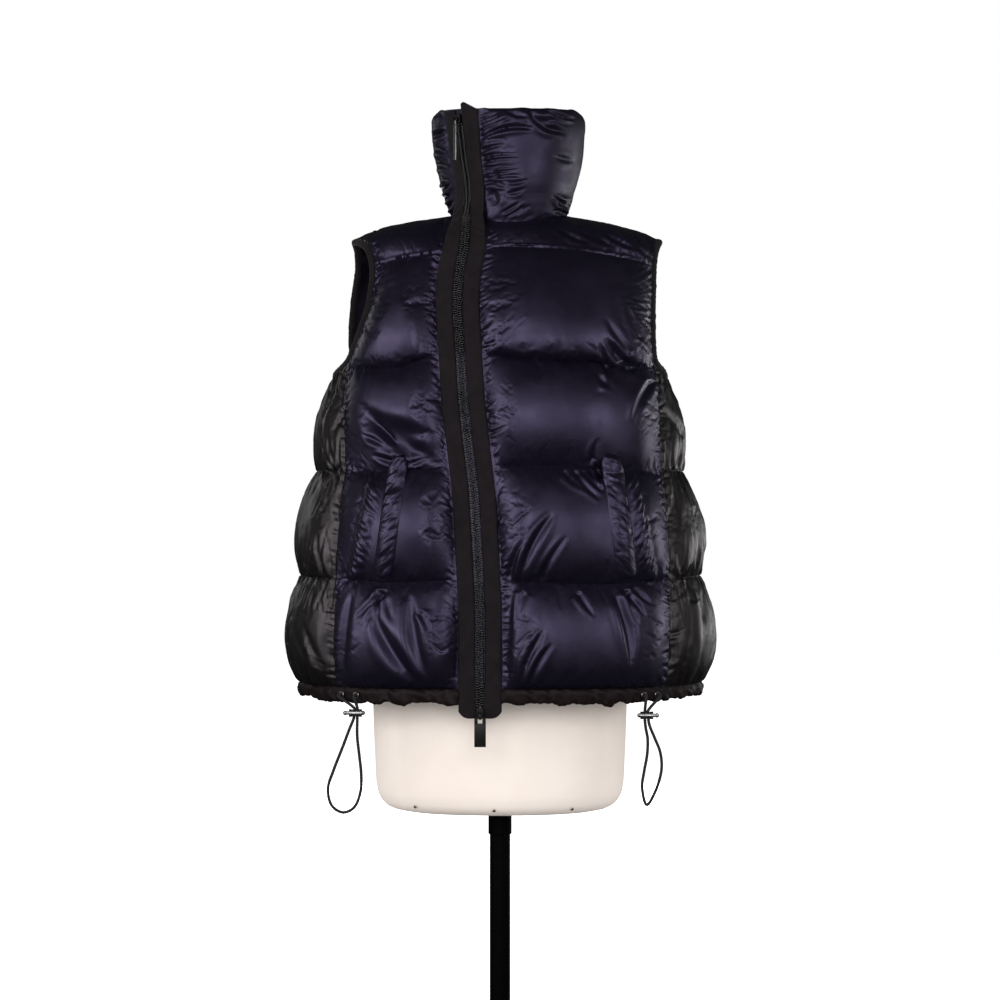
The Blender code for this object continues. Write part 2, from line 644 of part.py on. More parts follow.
def build_slider(which):
    o, side, up, n = zip_frame(SLIDER_Z[which])
    ob = add("zip_slider_" + which, solid_box(SLIDER_SIZE, (0, 0, 0.0034 + SLIDER_SIZE[2] / 2)), "black_metal")
    ob.matrix_world = matrix_of(o, side, up, n)
    for sign in (-1, 1):
        combine(ob, solid_box((EAR_T, 0.0036, 0.0050), (sign * EAR_X, 0, 0.0104)), "UNION")
    combine(ob, solid_cylinder(BAR_R, 2 * EAR_X + EAR_T * 0.5, (0, 0, BAR_OUT), "x", 12), "UNION")
    bar = o + n * BAR_OUT
    # the pull hangs from the bar along the local vertical
    down = np.array((0.0, 0.0, -1.0))
    out = np.cross(side, -down)
    if out.dot(n) < 0:
        out = -out
    width, thick, length, window = PULLS[which]
    pull = add("zip_pull_" + which, solid_cylinder(EYE_R, EYE_W, (0, 0, 0), "x", 20), "black_metal")
    pull.matrix_world = matrix_of(bar, side, -down, out)
    neck = 0.0065
    combine(pull, solid_box((EYE_W * 0.86, neck, thick), (0, -neck / 2 - 0.0012, 0)), "UNION")
    body = length - neck
    combine(pull, solid_box((width, body, thick), (0, -neck - body / 2 + 0.0006, 0)), "UNION")
    combine(pull, solid_cylinder(EYE_HOLE, EYE_W * 1.5, (0, 0, 0), "x", 16), "DIFFERENCE")
    if window:
        combine(pull, solid_box((window[0], window[0], thick * 3), (0, window[1], 0)), "DIFFERENCE")
    return bar, -side


HINGES = {which: build_slider(which) for which in ("top", "bottom")}


# ------------------------------------------------------------------ hem casing
def casing_points(phi):
    p = ring(0.0, phi)
    e = 1e-3
    n = np.cross(np.array((0.0, 0.0, 1.0)), ring(0.0, phi - e) - ring(0.0, phi + e))
    return p, n / np.linalg.norm(n, axis=-1)[..., None]


def build_casing():
    x0 = float(zip_x(0.46))
    a = float(angle_of_x(0.0, x0 + TAPE_OUT + 0.0008))
    b = float(angle_of_x(0.0, x0 - TAPE_OUT - 0.0008)) + 2 * math.pi
    p = by_length(ring(0.0, np.linspace(a, b, 361)), np.linspace(0, 1, 53))
    q = by_length(ring(0.0, np.linspace(a, b, 361)), np.linspace(0.001, 1.001, 53))
    r = by_length(ring(0.0, np.linspace(a, b, 361)), np.linspace(-0.001, 0.999, 53))
    n = np.cross(q - r, np.array((0.0, 0.0, 1.0)))
    n /= np.linalg.norm(n, axis=1)[:, None]
    top = LEVELS[0, 0] - GAP
    outer, inner = [], []
    for share, out in ((0.0, 0.62), (0.5, 1.0), (1.0, 0.62)):
        row = p.copy()
        row[:, 2] = top - CASING_H * (1 - share)
        outer.append(row + n * out * (CASING_T * 0.55))
        inner.append(row - n * out * (CASING_T * 0.45))
    wall("hem_casing", np.array(outer), np.array(inner), "casing")


build_casing()


# ------------------------------------------------------------------ armhole bindings
def edge_points(name, u, vs):
    """A panel's edge at u, its way out of the panel and its normal."""
    eps = 0.02 if u == 0 else -0.02
    pts, nor, _, _ = panel_grid(name, np.array(sorted((u, u + eps))), vs)
    k = 0 if u == 0 else 1
    away = pts[:, k] - pts[:, 1 - k]
    return pts[:, k], away / np.linalg.norm(away, axis=1)[:, None], nor[:, k]


def binding_loop(side, count=40):
    """Centre line and normals of the binding, set off into the armhole."""
    arm = np.linspace(3.02, 4.97, 40)
    f, fo, fn = edge_points("front_" + side, 1, arm)
    b, bo, bn = edge_points("back", 0 if side == "right" else 1, arm)
    us = np.linspace(0.03, 0.97, 16)
    s, sn, _, _ = panel_grid("side_" + side, us, np.array((2.9, 3.0)))
    so = s[1] - s[0]
    so /= np.linalg.norm(so, axis=1)[:, None]
    pts = np.concatenate([f[::-1], s[1], b])
    away = np.concatenate([fo[::-1], so, bo])
    nor = np.concatenate([fn[::-1], sn[1], bn])
    line = pts + away * (BINDING_W / 2 + 0.0026)
    closed = np.concatenate([line, line[:1]])
    shares = np.linspace(0, 1, 161)[:-1]
    d = np.concatenate([[0], np.cumsum(np.linalg.norm(np.diff(closed, axis=0), axis=1))])
    d /= d[-1]
    cn = np.concatenate([nor, nor[:1]])
    line = np.stack([np.interp(shares, d, closed[:, k]) for k in range(3)], -1)
    nor = np.stack([np.interp(shares, d, cn[:, k]) for k in range(3)], -1)
    for _ in range(10):
        line = (np.roll(line, 1, 0) + 2 * line + np.roll(line, -1, 0)) / 4
        nor = (np.roll(nor, 1, 0) + 2 * nor + np.roll(nor, -1, 0)) / 4
    pick = np.linspace(0, 160, count, endpoint=False).astype(int)
    return line, nor, pick


def build_binding(side):
    line, nor, pick = binding_loop(side)
    along = np.roll(line, -1, 0) - np.roll(line, 1, 0)
    along /= np.linalg.norm(along, axis=1)[:, None]
    nor = nor - along * (nor * along).sum(1)[:, None]
    nor /= np.linalg.norm(nor, axis=1)[:, None]
    across = np.cross(along, nor)
    bm = bmesh.new()
    loops = []
    for i in pick:
        loop = []
        for k in range(6):
            a = 2 * math.pi * k / 6
            offset = across[i] * math.cos(a) * BINDING_W / 2 + nor[i] * math.sin(a) * BINDING_T / 2
            loop.append(bm.verts.new(line[i] + offset))
        loops.append(loop)
    for i, loop in enumerate(loops):
        nxt = loops[(i + 1) % len(loops)]
        for k in range(6):
            m = (k + 1) % 6
            bm.faces.new((loop[k], loop[m], nxt[m], nxt[k]))
    add("armhole_binding_" + side, bm, "tape")


for arm_side in ("left", "right"):
    build_binding(arm_side)


# ------------------------------------------------------------------ pocket welts
def build_welt(side):
    name = "front_" + side
    panel = PANELS[name]
    low_x, high_x, width = WELTS[side]
    vs = np.linspace(*WELT_V, 11)
    outer, inner = [], []
    profile = np.array((0.30, 0.78, 1.0, 0.78, 0.30))
    for i, v in enumerate(vs):
        row = panel.row(v)
        x = low_x + (high_x - low_x) * i / (len(vs) - 1)
        shares = np.linspace(0, 1, len(row))
        xs = by_length(row, shares)[:, 0]
        order = np.argsort(xs)
        us = np.interp(x + np.linspace(-0.5, 0.5, 5) * width * 0.92, xs[order], shares[order])
        pts, nor, d_in, d_out = panel_grid(name, us, np.array((v,)))
        out, _ = crown(name, pts, np.array((v,)), d_in, d_out)
        # its upper end bridges seam 2's groove
        held, _ = crown(name, pts, np.array((min(v, 1.88),)), d_in, d_out)
        out = np.maximum(out, held)
        base = pts[0] + nor[0] * (SEAM_HALF + out[0] + 0.0016)[:, None]
        end = 0.45 if i in (0, len(vs) - 1) else 1.0
        outer.append(base + nor[0] * (WELT_T * profile * end)[:, None])
        inner.append(base)
    wall("pocket_welt_" + side, np.array(outer), np.array(inner), "nylon")


for welt_side in ("left", "right"):
    build_welt(welt_side)


# ------------------------------------------------------------------ drawcord fittings
BARREL_R, BARREL_HALF, BALL_R = 0.0049, 0.0082, 0.0029
BORE_R, BORE_DEPTH, SHAFT_R, TRAVEL = 0.0026, 0.0033, 0.0022, 0.0015
EYELET_R, EYELET_WIRE = 0.0034, 0.0008


def build_lock(side):
    x, y, z = LOCKS[side]
    out = -1.0 if side == "left" else 1.0
    at = Matrix.Translation((x, y, z))
    ob = add("cord_lock_" + side, solid_cylinder(BARREL_R, 2 * BARREL_HALF, (0, 0, 0), "x", 24), "hardware")
    ob.matrix_world = at
    combine(ob, solid_ball(BALL_R, (-out * (BARREL_HALF + 0.0012), 0, 0)), "UNION")
    slot = 2 * (STRAND_HALF + CORD_D / 2 + 0.0004)
    combine(ob, solid_box((slot, CORD_D + 0.0010, 0.03), (0, 0, 0)), "DIFFERENCE")
    combine(ob, solid_cylinder(BORE_R, BORE_DEPTH * 2, (out * BARREL_HALF, 0, 0), "x", 16), "DIFFERENCE")
    shaft = (out * (BARREL_HALF - 0.0014), out * (BARREL_HALF + 0.0030))
    ball = out * (BARREL_HALF + 0.0018 + BALL_R)
    plunger = add(
        "lock_plunger_" + side,
        solid_cylinder(SHAFT_R, abs(shaft[1] - shaft[0]), (sum(shaft) / 2 - ball, 0, 0), "x", 16),
        "hardware",
    )
    plunger.matrix_world = Matrix.Translation((x + ball, y, z))
    combine(plunger, solid_ball(BALL_R, (0, 0, 0)), "UNION")


def casing_frame(x):
    """A point on the casing's front face at x, and its outward normal."""
    p, n = casing_points(np.array((float(angle_of_x(0.0, x)),)))
    p, n = p[0], n[0]
    p[2] = LEVELS[0, 0] - GAP - CASING_H * 0.55
    return p + n * (CASING_T * 0.55), n


EYELET_X = {"left": (-0.1975, -0.1790), "right": (0.1790, 0.1960)}


def build_eyelet(name, x):
    p, n = casing_frame(x)
    at = Vector(p + n * (EYELET_WIRE + 0.0005))
    bpy.ops.mesh.primitive_torus_add(
        major_radius=EYELET_R, minor_radius=EYELET_WIRE, major_segments=12, minor_segments=6
    )
    ob = bpy.context.object
    ob.name = name
    ob.data.materials.append(MATS["hardware"])
    ob.data.shade_smooth()
    ob.rotation_euler = Vector(n).to_track_quat("Z", "Y").to_euler()
    ob.location = at
    for c in list(ob.users_collection):
        c.objects.unlink(ob)
    PARTS.objects.link(ob)


def smooth_route(points, count):
    """A smooth open curve through the points, at even steps (Catmull-Rom)."""
    p = np.array(points, float)
    p = np.concatenate([[2 * p[0] - p[1]], p, [2 * p[-1] - p[-2]]])
    dense = []
    for i in range(1, len(p) - 2):
        for t in np.linspace(0, 1, 12, endpoint=False):
            a, b, c, d = p[i - 1], p[i], p[i + 1], p[i + 2]
            dense.append(0.5 * ((2 * b) + (c - a) * t + (2 * a - 5 * b + 4 * c - d) * t * t + (3 * b - a - 3 * c + d) * t ** 3))
    dense.append(p[-2])
    return by_length(np.array(dense), np.linspace(0, 1, count))


def cord_route(side):
    x, y, z = LOCKS[side]
    loop = LOOP_LEFT if side == "left" else LOOP_RIGHT
    xa, xb = EYELET_X[side]
    (pa, na), (pb, nb) = casing_frame(xa), casing_frame(xb)
    start = [pa + na * 0.0006, pa + na * 0.0035, pa + na * 0.0062 + np.array((0.0, 0.0, -0.0022))]
    end = [pb + nb * 0.0062 + np.array((0.0, 0.0, -0.0022)), pb + nb * 0.0035, pb + nb * 0.0006]
    a = [(x - STRAND_HALF, y, z + 0.0070), (x - STRAND_HALF, y, z), (x - STRAND_HALF, y, z - 0.0070)]
    b = [(x + STRAND_HALF, y, z - 0.0070), (x + STRAND_HALF, y, z), (x + STRAND_HALF, y, z + 0.0070)]
    free = [(lx, y + ly, lz) for lx, lz, ly in loop]
    return smooth_route([*start, *a, *free, *b, *end], 42)


def build_cord(side):
    curve = bpy.data.curves.new("drawcord_" + side, "CURVE")
    curve.dimensions = "3D"
    curve.bevel_depth = CORD_D / 2
    curve.bevel_resolution = 2
    curve.use_fill_caps = True
    spline = curve.splines.new("POLY")
    route = cord_route(side)
    spline.points.add(len(route) - 1)
    for point, p in zip(spline.points, route):
        point.co = (*p, 1.0)
    curve.materials.append(MATS["cord"])
    PARTS.objects.link(bpy.data.objects.new("drawcord_" + side, curve))


for cord_side in ("left", "right"):
    build_lock(cord_side)
    for letter, ex in zip("ab", EYELET_X[cord_side]):
        build_eyelet("eyelet_" + cord_side + "_" + letter, ex)
    build_cord(cord_side)


# ------------------------------------------------------------------ dress form and stand
def form_ring(row, count):
    z, a, bf, bb = row
    phi = np.linspace(0, 2 * math.pi, count, endpoint=False)
    c, s = np.cos(phi), np.sin(phi)
    e = 2.0 / FORM_POWER
    x = a * np.sign(s) * np.abs(s) ** e
    y = FORM_Y - np.where(c > 0, bf, bb) * np.sign(c) * np.abs(c) ** e
    return np.stack([x, y, np.full(count, z)], -1)


def build_form(count=28):
    bm = bmesh.new()
    loops = [[bm.verts.new(p) for p in form_ring(row, count)] for row in FORM]
    for low, high in zip(loops, loops[1:]):
        for k in range(count):
            m = (k + 1) % count
            bm.faces.new((low[k], low[m], high[m], high[k]))
    bm.faces.new(loops[0][::-1])
    bm.faces.new(loops[-1])
    add("dress_form", bm, "form")


def build_tack(name, x, z):
    """A small domed tack on the rounded front of the form, just above its lower edge."""
    a, bf = (float(np.interp(z, FORM[:, 0], FORM[:, k])) for k in (1, 2))
    rise = (float(np.interp(z + 0.002, FORM[:, 0], FORM[:, 2])) - float(np.interp(z - 0.002, FORM[:, 0], FORM[:, 2]))) / 0.004
    y = FORM_Y - bf * (1 - abs(x / a) ** FORM_POWER) ** (1 / FORM_POWER)
    n = np.array((x / a ** 2, (y - FORM_Y) / bf ** 2, 0.0))
    n = n / np.linalg.norm(n) - np.array((0.0, 0.0, rise))
    n /= np.linalg.norm(n)
    bm = solid_ball(0.0022, (0, 0, 0), 12)
    bmesh.ops.scale(bm, vec=(1, 1, 0.45), verts=bm.verts)
    ob = add(name, bm, "hardware")
    ob.matrix_world = Matrix.Translation(Vector(np.array((x, y, z)) + n * 0.0024)) @ Vector(n).to_track_quat("Z", "Y").to_matrix().to_4x4()


def turned(name, profile, mat, steps=48):
    """A turned solid from an outer profile of (radius, height), top to bottom."""
    me = bpy.data.meshes.new(name)
    verts = [(r, 0.0, z) for r, z in profile]
    me.from_pydata(verts, [(i, i + 1) for i in range(len(verts) - 1)], [])
    ob = bpy.data.objects.new(name, me)
    me.materials.append(MATS[mat])
    PARTS.objects.link(ob)
    mod = ob.modifiers.new("turn", "SCREW")
    mod.steps = mod.render_steps = steps
    mod.use_merge_vertices = True
    mod.merge_threshold = 0.00005
    mod.use_smooth_shade = True
    return ob


build_form()
for tack_name, tack_x, tack_z in (("left", -0.1080, 0.3125), ("centre", -0.0075, 0.3104), ("right", 0.0917, 0.3104)):
    build_tack("form_tack_" + tack_name, tack_x, tack_z)
turned("pole_socket", ((0.0, SOCKET_Z[1]), (SOCKET_R, SOCKET_Z[1]), (SOCKET_R, SOCKET_Z[0]), (0.0, SOCKET_Z[0])), "stand", 32)
turned("stand_pole", ((0.0, POLE_Z[1]), (POLE_R, POLE_Z[1]), (POLE_R, POLE_Z[0]), (0.0, POLE_Z[0])), "stand", 32)
turned(
    "stand_base",
    ((0.0, BASE_H), (BASE_R - 0.008, BASE_H), (BASE_R - 0.003, BASE_H - 0.0015),
     (BASE_R, BASE_H - 0.005), (BASE_R, 0.0), (0.0, 0.0)),
    "stand", 48,
)
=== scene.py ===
"""Looks of a quilted stand-collar vest on a limbless dress form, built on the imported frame.

Every quilted panel is a shell of nylon pinned along its seams and blown up by the
cloth simulation, then creased and closed with its inner face. The zip, tapes,
bindings, casing, cords, form and stand are modelled in mesh code. Metres, +Z up,
the vest's front faces -Y.
"""

import math

import bmesh
import bpy
import numpy as np
from mathutils import Matrix, Vector


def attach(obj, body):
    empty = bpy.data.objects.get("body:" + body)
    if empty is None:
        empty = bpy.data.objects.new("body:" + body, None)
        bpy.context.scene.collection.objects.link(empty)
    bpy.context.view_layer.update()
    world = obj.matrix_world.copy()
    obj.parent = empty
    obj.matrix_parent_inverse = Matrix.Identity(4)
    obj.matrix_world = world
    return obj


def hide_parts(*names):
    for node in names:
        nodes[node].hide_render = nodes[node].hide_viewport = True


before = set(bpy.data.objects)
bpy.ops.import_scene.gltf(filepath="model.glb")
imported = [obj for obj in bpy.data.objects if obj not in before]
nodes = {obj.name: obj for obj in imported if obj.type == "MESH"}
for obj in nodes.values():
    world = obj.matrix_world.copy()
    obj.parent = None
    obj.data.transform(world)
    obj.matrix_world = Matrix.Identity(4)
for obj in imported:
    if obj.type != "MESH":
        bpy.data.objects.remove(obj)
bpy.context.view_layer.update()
BODY = "vest_on_form"
SCENE = bpy.context.scene

# ------------------------------------------------------------------ the vest's sizes
SEAM_HALF, GAP, FLANGE = 0.0025, 0.0004, 0.0275
TAPE_IN, TAPE_OUT, TAPE_T = 0.0060, 0.0272, 0.0015
CASING_H, CASING_T = 0.0160, 0.0090
BINDING_W, BINDING_T = 0.0100, 0.0080
CORD_D = 0.0036
NECK_STEP = 0.0012
LEVELS = np.array(
    (
        (0.4690, 0.4690, 0.2610, 0.0010, 0.1860, 0.1760, 2.5),
        (0.6050, 0.6070, 0.2590, 0.0000, 0.1850, 0.1720, 2.5),
        (0.7460, 0.7430, 0.2370, -0.0010, 0.1700, 0.1600, 2.5),
        (0.8900, 0.8830, 0.2140, 0.0000, 0.1540, 0.1500, 2.5),
        (1.0270, 1.0150, 0.2030, 0.0050, 0.1180, 0.1250, 2.5),
    )
)
CROWNS = np.array(
    (
        (0.0260, 0.0205, 0.0240, 0.0100, 0.72),
        (0.0250, 0.0150, 0.0240, 0.0100, 0.80),
        (0.0230, 0.0110, 0.0220, 0.0095, 0.80),
        (0.0210, 0.0100, 0.0200, 0.0090, 0.85),
        (0.0150, 0.0120, 0.0150, 0.0060, 0.80),
    )
)
SIDE_SEAMS = {
    "left": {"front": (-47.5, -48.5, -50.5, -60.5), "back": (-132, -131, -128, -119)},
    "right": {"front": (48.0, 51.5, 55.5, 63.5), "back": (132, 131, 128, 119)},
}
ARM_LEVEL = (3.0, 3.2, 3.5, 3.8, 4.0)
ARM_EDGES = {
    "left": {"front": (-60.5, -55.5, -49.5, -48.5, -51.0), "back": (-119, -113, -110, -110, -112)},
    "right": {"front": (63.5, 62.5, 64.0, 66.5, 68.5), "back": (119, 113, 110, 110, 112)},
}
ARM_SCOOP = 0.14
NECK = {"x": 0.0120, "y": -0.0080, "half_w": 0.0720, "front": 0.0890, "back": 0.0720,
        "z_front": 1.0620, "z_side": 1.0760, "z_back": 1.0840}
SHOULDER = {"left_tip": -0.1900, "right_tip": 0.2060, "z_tip": 1.0520, "y": -0.0080}
COLLAR = np.array(
    (
        (0.00, 0.0120, 0.0720, 0.0890, 0.0720),
        (0.25, 0.0115, 0.0755, 0.0910, 0.0740),
        (0.60, 0.0115, 0.0850, 0.0950, 0.0790),
        (1.00, 0.0110, 0.0925, 0.0990, 0.0840),
    )
)
COLLAR_TOP = {"front": 1.2080, "side": 1.2140, "back": 1.2150}
COLLAR_CROWN = {"out": 0.0095, "in": 0.0070}
COLLAR_R = 0.0880
ZIP_BODY = np.array(
    (
        (0.449, -0.0249), (0.568, -0.0249), (0.647, -0.0287), (0.726, -0.0337),
        (0.764, -0.0388), (0.832, -0.0463), (0.896, -0.0502), (0.958, -0.0544),
        (1.002, -0.0508), (1.033, -0.0440), (1.058, -0.0371),
    )
)
ZIP_COLLAR = np.array(((0.0, -43.0), (0.15, -41.0), (0.35, -41.0), (0.6, -42.0), (1.0, -42.5)))
ZIP_DROP = 0.0205
SLIDER_Z = {"top": 1.1980, "bottom": 0.4400}
WELTS = {"left": (-0.1525, -0.1310, 0.026), "right": (0.1610, 0.1400, 0.028)}
WELT_V = (1.03, 2.11)
FORM = np.array(
    (
        (0.3000, 0.1280, 0.0900, 0.0880), (0.3030, 0.1420, 0.1030, 0.1010),
        (0.3090, 0.1520, 0.1120, 0.1100), (0.3180, 0.1585, 0.1170, 0.1160),
        (0.3320, 0.1625, 0.1200, 0.1190), (0.3700, 0.1645, 0.1210, 0.1210),
        (0.4400, 0.1670, 0.1200, 0.1240), (0.5100, 0.1650, 0.1160, 0.1230),
        (0.5800, 0.1500, 0.1080, 0.1080), (0.6500, 0.1340, 0.1020, 0.0930),
        (0.7200, 0.1310, 0.1030, 0.0920), (0.8000, 0.1390, 0.1140, 0.1020),
        (0.8700, 0.1470, 0.1200, 0.1080), (0.9300, 0.1510, 0.1150, 0.1080),
        (0.9800, 0.1500, 0.0980, 0.1000), (1.0150, 0.1420, 0.0780, 0.0860),
        (1.0320, 0.1220, 0.0660, 0.0720), (1.0440, 0.0930, 0.0580, 0.0620),
        (1.0540, 0.0680, 0.0540, 0.0560), (1.0680, 0.0545, 0.0510, 0.0520),
        (1.0900, 0.0510, 0.0490, 0.0490), (1.1450, 0.0490, 0.0480, 0.0470),
        (1.1500, 0.0455, 0.0440, 0.0430),
    )
)
FORM_POWER, FORM_Y = 2.25, -0.004
SOCKET_R, SOCKET_Z = 0.0155, (0.2650, 0.2997)
POLE_R, POLE_Z = 0.0135, (0.0123, 0.2647)
BASE_R, BASE_H = 0.1800, 0.0120
LOCKS = {"left": (-0.1822, -0.1620, 0.4375), "right": (0.1850, -0.1620, 0.4345)}
LOOP_LEFT = (
    (-0.1895, 0.4180, 0.0000), (-0.1990, 0.3930, 0.0008), (-0.2100, 0.3650, 0.0014),
    (-0.2168, 0.3430, 0.0018), (-0.2130, 0.3220, 0.0018), (-0.1985, 0.3120, 0.0016),
    (-0.1835, 0.3190, 0.0014), (-0.1760, 0.3380, 0.0010), (-0.1750, 0.3600, 0.0006),
    (-0.1775, 0.3850, 0.0002), (-0.1800, 0.4080, 0.0000),
)
LOOP_RIGHT = (
    (0.1838, 0.4180, 0.0000), (0.1862, 0.4040, 0.0000), (0.1855, 0.3850, 0.0004),
    (0.1818, 0.3640, 0.0008), (0.1792, 0.3430, 0.0010), (0.1850, 0.3215, 0.0012),
    (0.1965, 0.3400, 0.0010), (0.2035, 0.3650, 0.0006), (0.2022, 0.3870, 0.0003),
    (0.1950, 0.4060, 0.0000), (0.1895, 0.4190, 0.0000),
)
STRAND_HALF = 0.0023
EYELET_X = {"left": (-0.1975, -0.1790), "right": (0.1790, 0.1960)}
TAPE_LOW = SEAM_HALF + 0.0006

# ------------------------------------------------------------------ camera
camera = bpy.data.objects.new("camera", bpy.data.cameras.new("camera"))
camera.location = (0.0, -3.6, 0.706)
camera.rotation_euler = (math.radians(90), 0.0, 0.0)
camera.data.lens = 98.18
camera.data.sensor_width = 36.0
camera.data.clip_end = 60.0
SCENE.collection.objects.link(camera)
SCENE.camera = camera


# ------------------------------------------------------------------ small helpers
def smooth_step(x):
    x = np.clip(x, 0, 1)
    return x * x * (3 - 2 * x)


def unit(a):
    return a / np.maximum(np.linalg.norm(a, axis=-1, keepdims=True), 1e-12)


def by_length(points, shares):
    d = np.concatenate([[0], np.cumsum(np.linalg.norm(np.diff(points, axis=0), axis=1))])
    d /= d[-1]
    return np.stack([np.interp(shares, d, points[:, k]) for k in range(3)], -1)


def smooth_route(points, count):
    """A smooth open curve through the points, at even steps (Catmull-Rom)."""
    p = np.array(points, float)
    p = np.concatenate([[2 * p[0] - p[1]], p, [2 * p[-1] - p[-2]]])
    dense = []
    for i in range(1, len(p) - 2):
        for t in np.linspace(0, 1, 12, endpoint=False):
            a, b, c, d = p[i - 1], p[i], p[i + 1], p[i + 2]
            dense.append(0.5 * ((2 * b) + (c - a) * t + (2 * a - 5 * b + 4 * c - d) * t * t + (3 * b - a - 3 * c + d) * t ** 3))
    dense.append(p[-2])
    return by_length(np.array(dense), np.linspace(0, 1, count))


_gradients = {}


def noise(x, y, seed):
    """Smooth gradient noise of about -1 to 1, one wave or so in each unit."""
    if seed not in _gradients:
        a = np.random.default_rng(seed).uniform(0, 2 * math.pi, (128, 128))
        _gradients[seed] = (np.cos(a), np.sin(a))
    gx, gy = _gradients[seed]
    x, y = np.broadcast_arrays(np.asarray(x, float), np.asarray(y, float))
    xi, yi = np.floor(x).astype(int), np.floor(y).astype(int)
    fx, fy = x - xi, y - yi
    u, v = (f ** 3 * (f * (f * 6 - 15) + 10) for f in (fx, fy))

    def corner(i, j):
        a, b = (xi + i) % 128, (yi + j) % 128
        return gx[a, b] * (fx - i) + gy[a, b] * (fy - j)

    low = corner(0, 0) * (1 - u) + corner(1, 0) * u
    high = corner(0, 1) * (1 - u) + corner(1, 1) * u
    return (low * (1 - v) + high * v) * 1.55


def build(name, verts, quads, tris=None, mat=None, body=BODY, fix=False, sharp=None):
    """A smooth-shaded mesh object that rides on a body."""
    quads = np.asarray(quads, np.int32).reshape(-1, 4)
    tris = np.zeros((0, 3), np.int32) if tris is None else np.asarray(tris, np.int32).reshape(-1, 3)
    me = bpy.data.meshes.new(name)
    me.vertices.add(len(verts))
    me.vertices.foreach_set("co", np.asarray(verts, np.float32).ravel())
    loops = np.concatenate([quads.ravel(), tris.ravel()])
    me.loops.add(len(loops))
    me.loops.foreach_set("vertex_index", loops)
    starts = np.concatenate([np.arange(len(quads)) * 4, len(quads) * 4 + np.arange(len(tris)) * 3])
    me.polygons.add(len(starts))
    me.polygons.foreach_set("loop_start", starts.astype(np.int32))
    me.update(calc_edges=True)
    me.validate()
    if fix:
        bm = bmesh.new()
        bm.from_mesh(me)
        bmesh.ops.recalc_face_normals(bm, faces=bm.faces)
        bm.to_mesh(me)
        bm.free()
    me.shade_smooth()
    if sharp:
        me.set_sharp_from_angle(angle=math.radians(sharp))
    ob = bpy.data.objects.new(name, me)
    SCENE.collection.objects.link(ob)
    if mat is not None:
        me.materials.append(mat)
    if body:
        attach(ob, body)
    return ob


def grid_quads(rows, cols, start=0, close=False):
    i, j = np.meshgrid(np.arange(rows - 1), np.arange(cols if close else cols - 1), indexing="ij")
    k = (j + 1) % cols
    a, b = start + i * cols + j, start + i * cols + k
    return np.stack([a, b, b + cols, a + cols], -1).reshape(-1, 4)


def finer(a, axis):
    """Twice the points along an axis, on a smooth curve through the given ones."""
    a = np.moveaxis(a, axis, 0)
    mid = (a[:-1] + a[1:]) / 2
    if len(a) > 3:
        mid[1:-1] = (9 * (a[1:-2] + a[2:-1]) - a[:-3] - a[3:]) / 16
        mid[0] = (3 * a[0] + 6 * a[1] - a[2]) / 8
        mid[-1] = (3 * a[-1] + 6 * a[-2] - a[-3]) / 8
    out = np.empty((2 * len(a) - 1,) + a.shape[1:])
    out[0::2], out[1::2] = a, mid
    return np.moveaxis(out, 0, axis)


def grid_normals(p, sign=1.0):
    return unit(np.cross(np.gradient(p, axis=0), np.gradient(p, axis=1))) * sign


# ------------------------------------------------------------------ materials
def principled(name, color, roughness, metallic=0.0, **more):
    mat = bpy.data.materials.new(name)
    mat.use_nodes = True
    tree = mat.node_tree
    p = tree.nodes["Principled BSDF"]
    p.inputs["Base Color"].default_value = (*color, 1.0)
    p.inputs["Roughness"].default_value = roughness
    p.inputs["Metallic"].default_value = metallic
    for key, value in more.items():
        p.inputs[key.replace("_", " ")].default_value = value
    return mat, tree, p


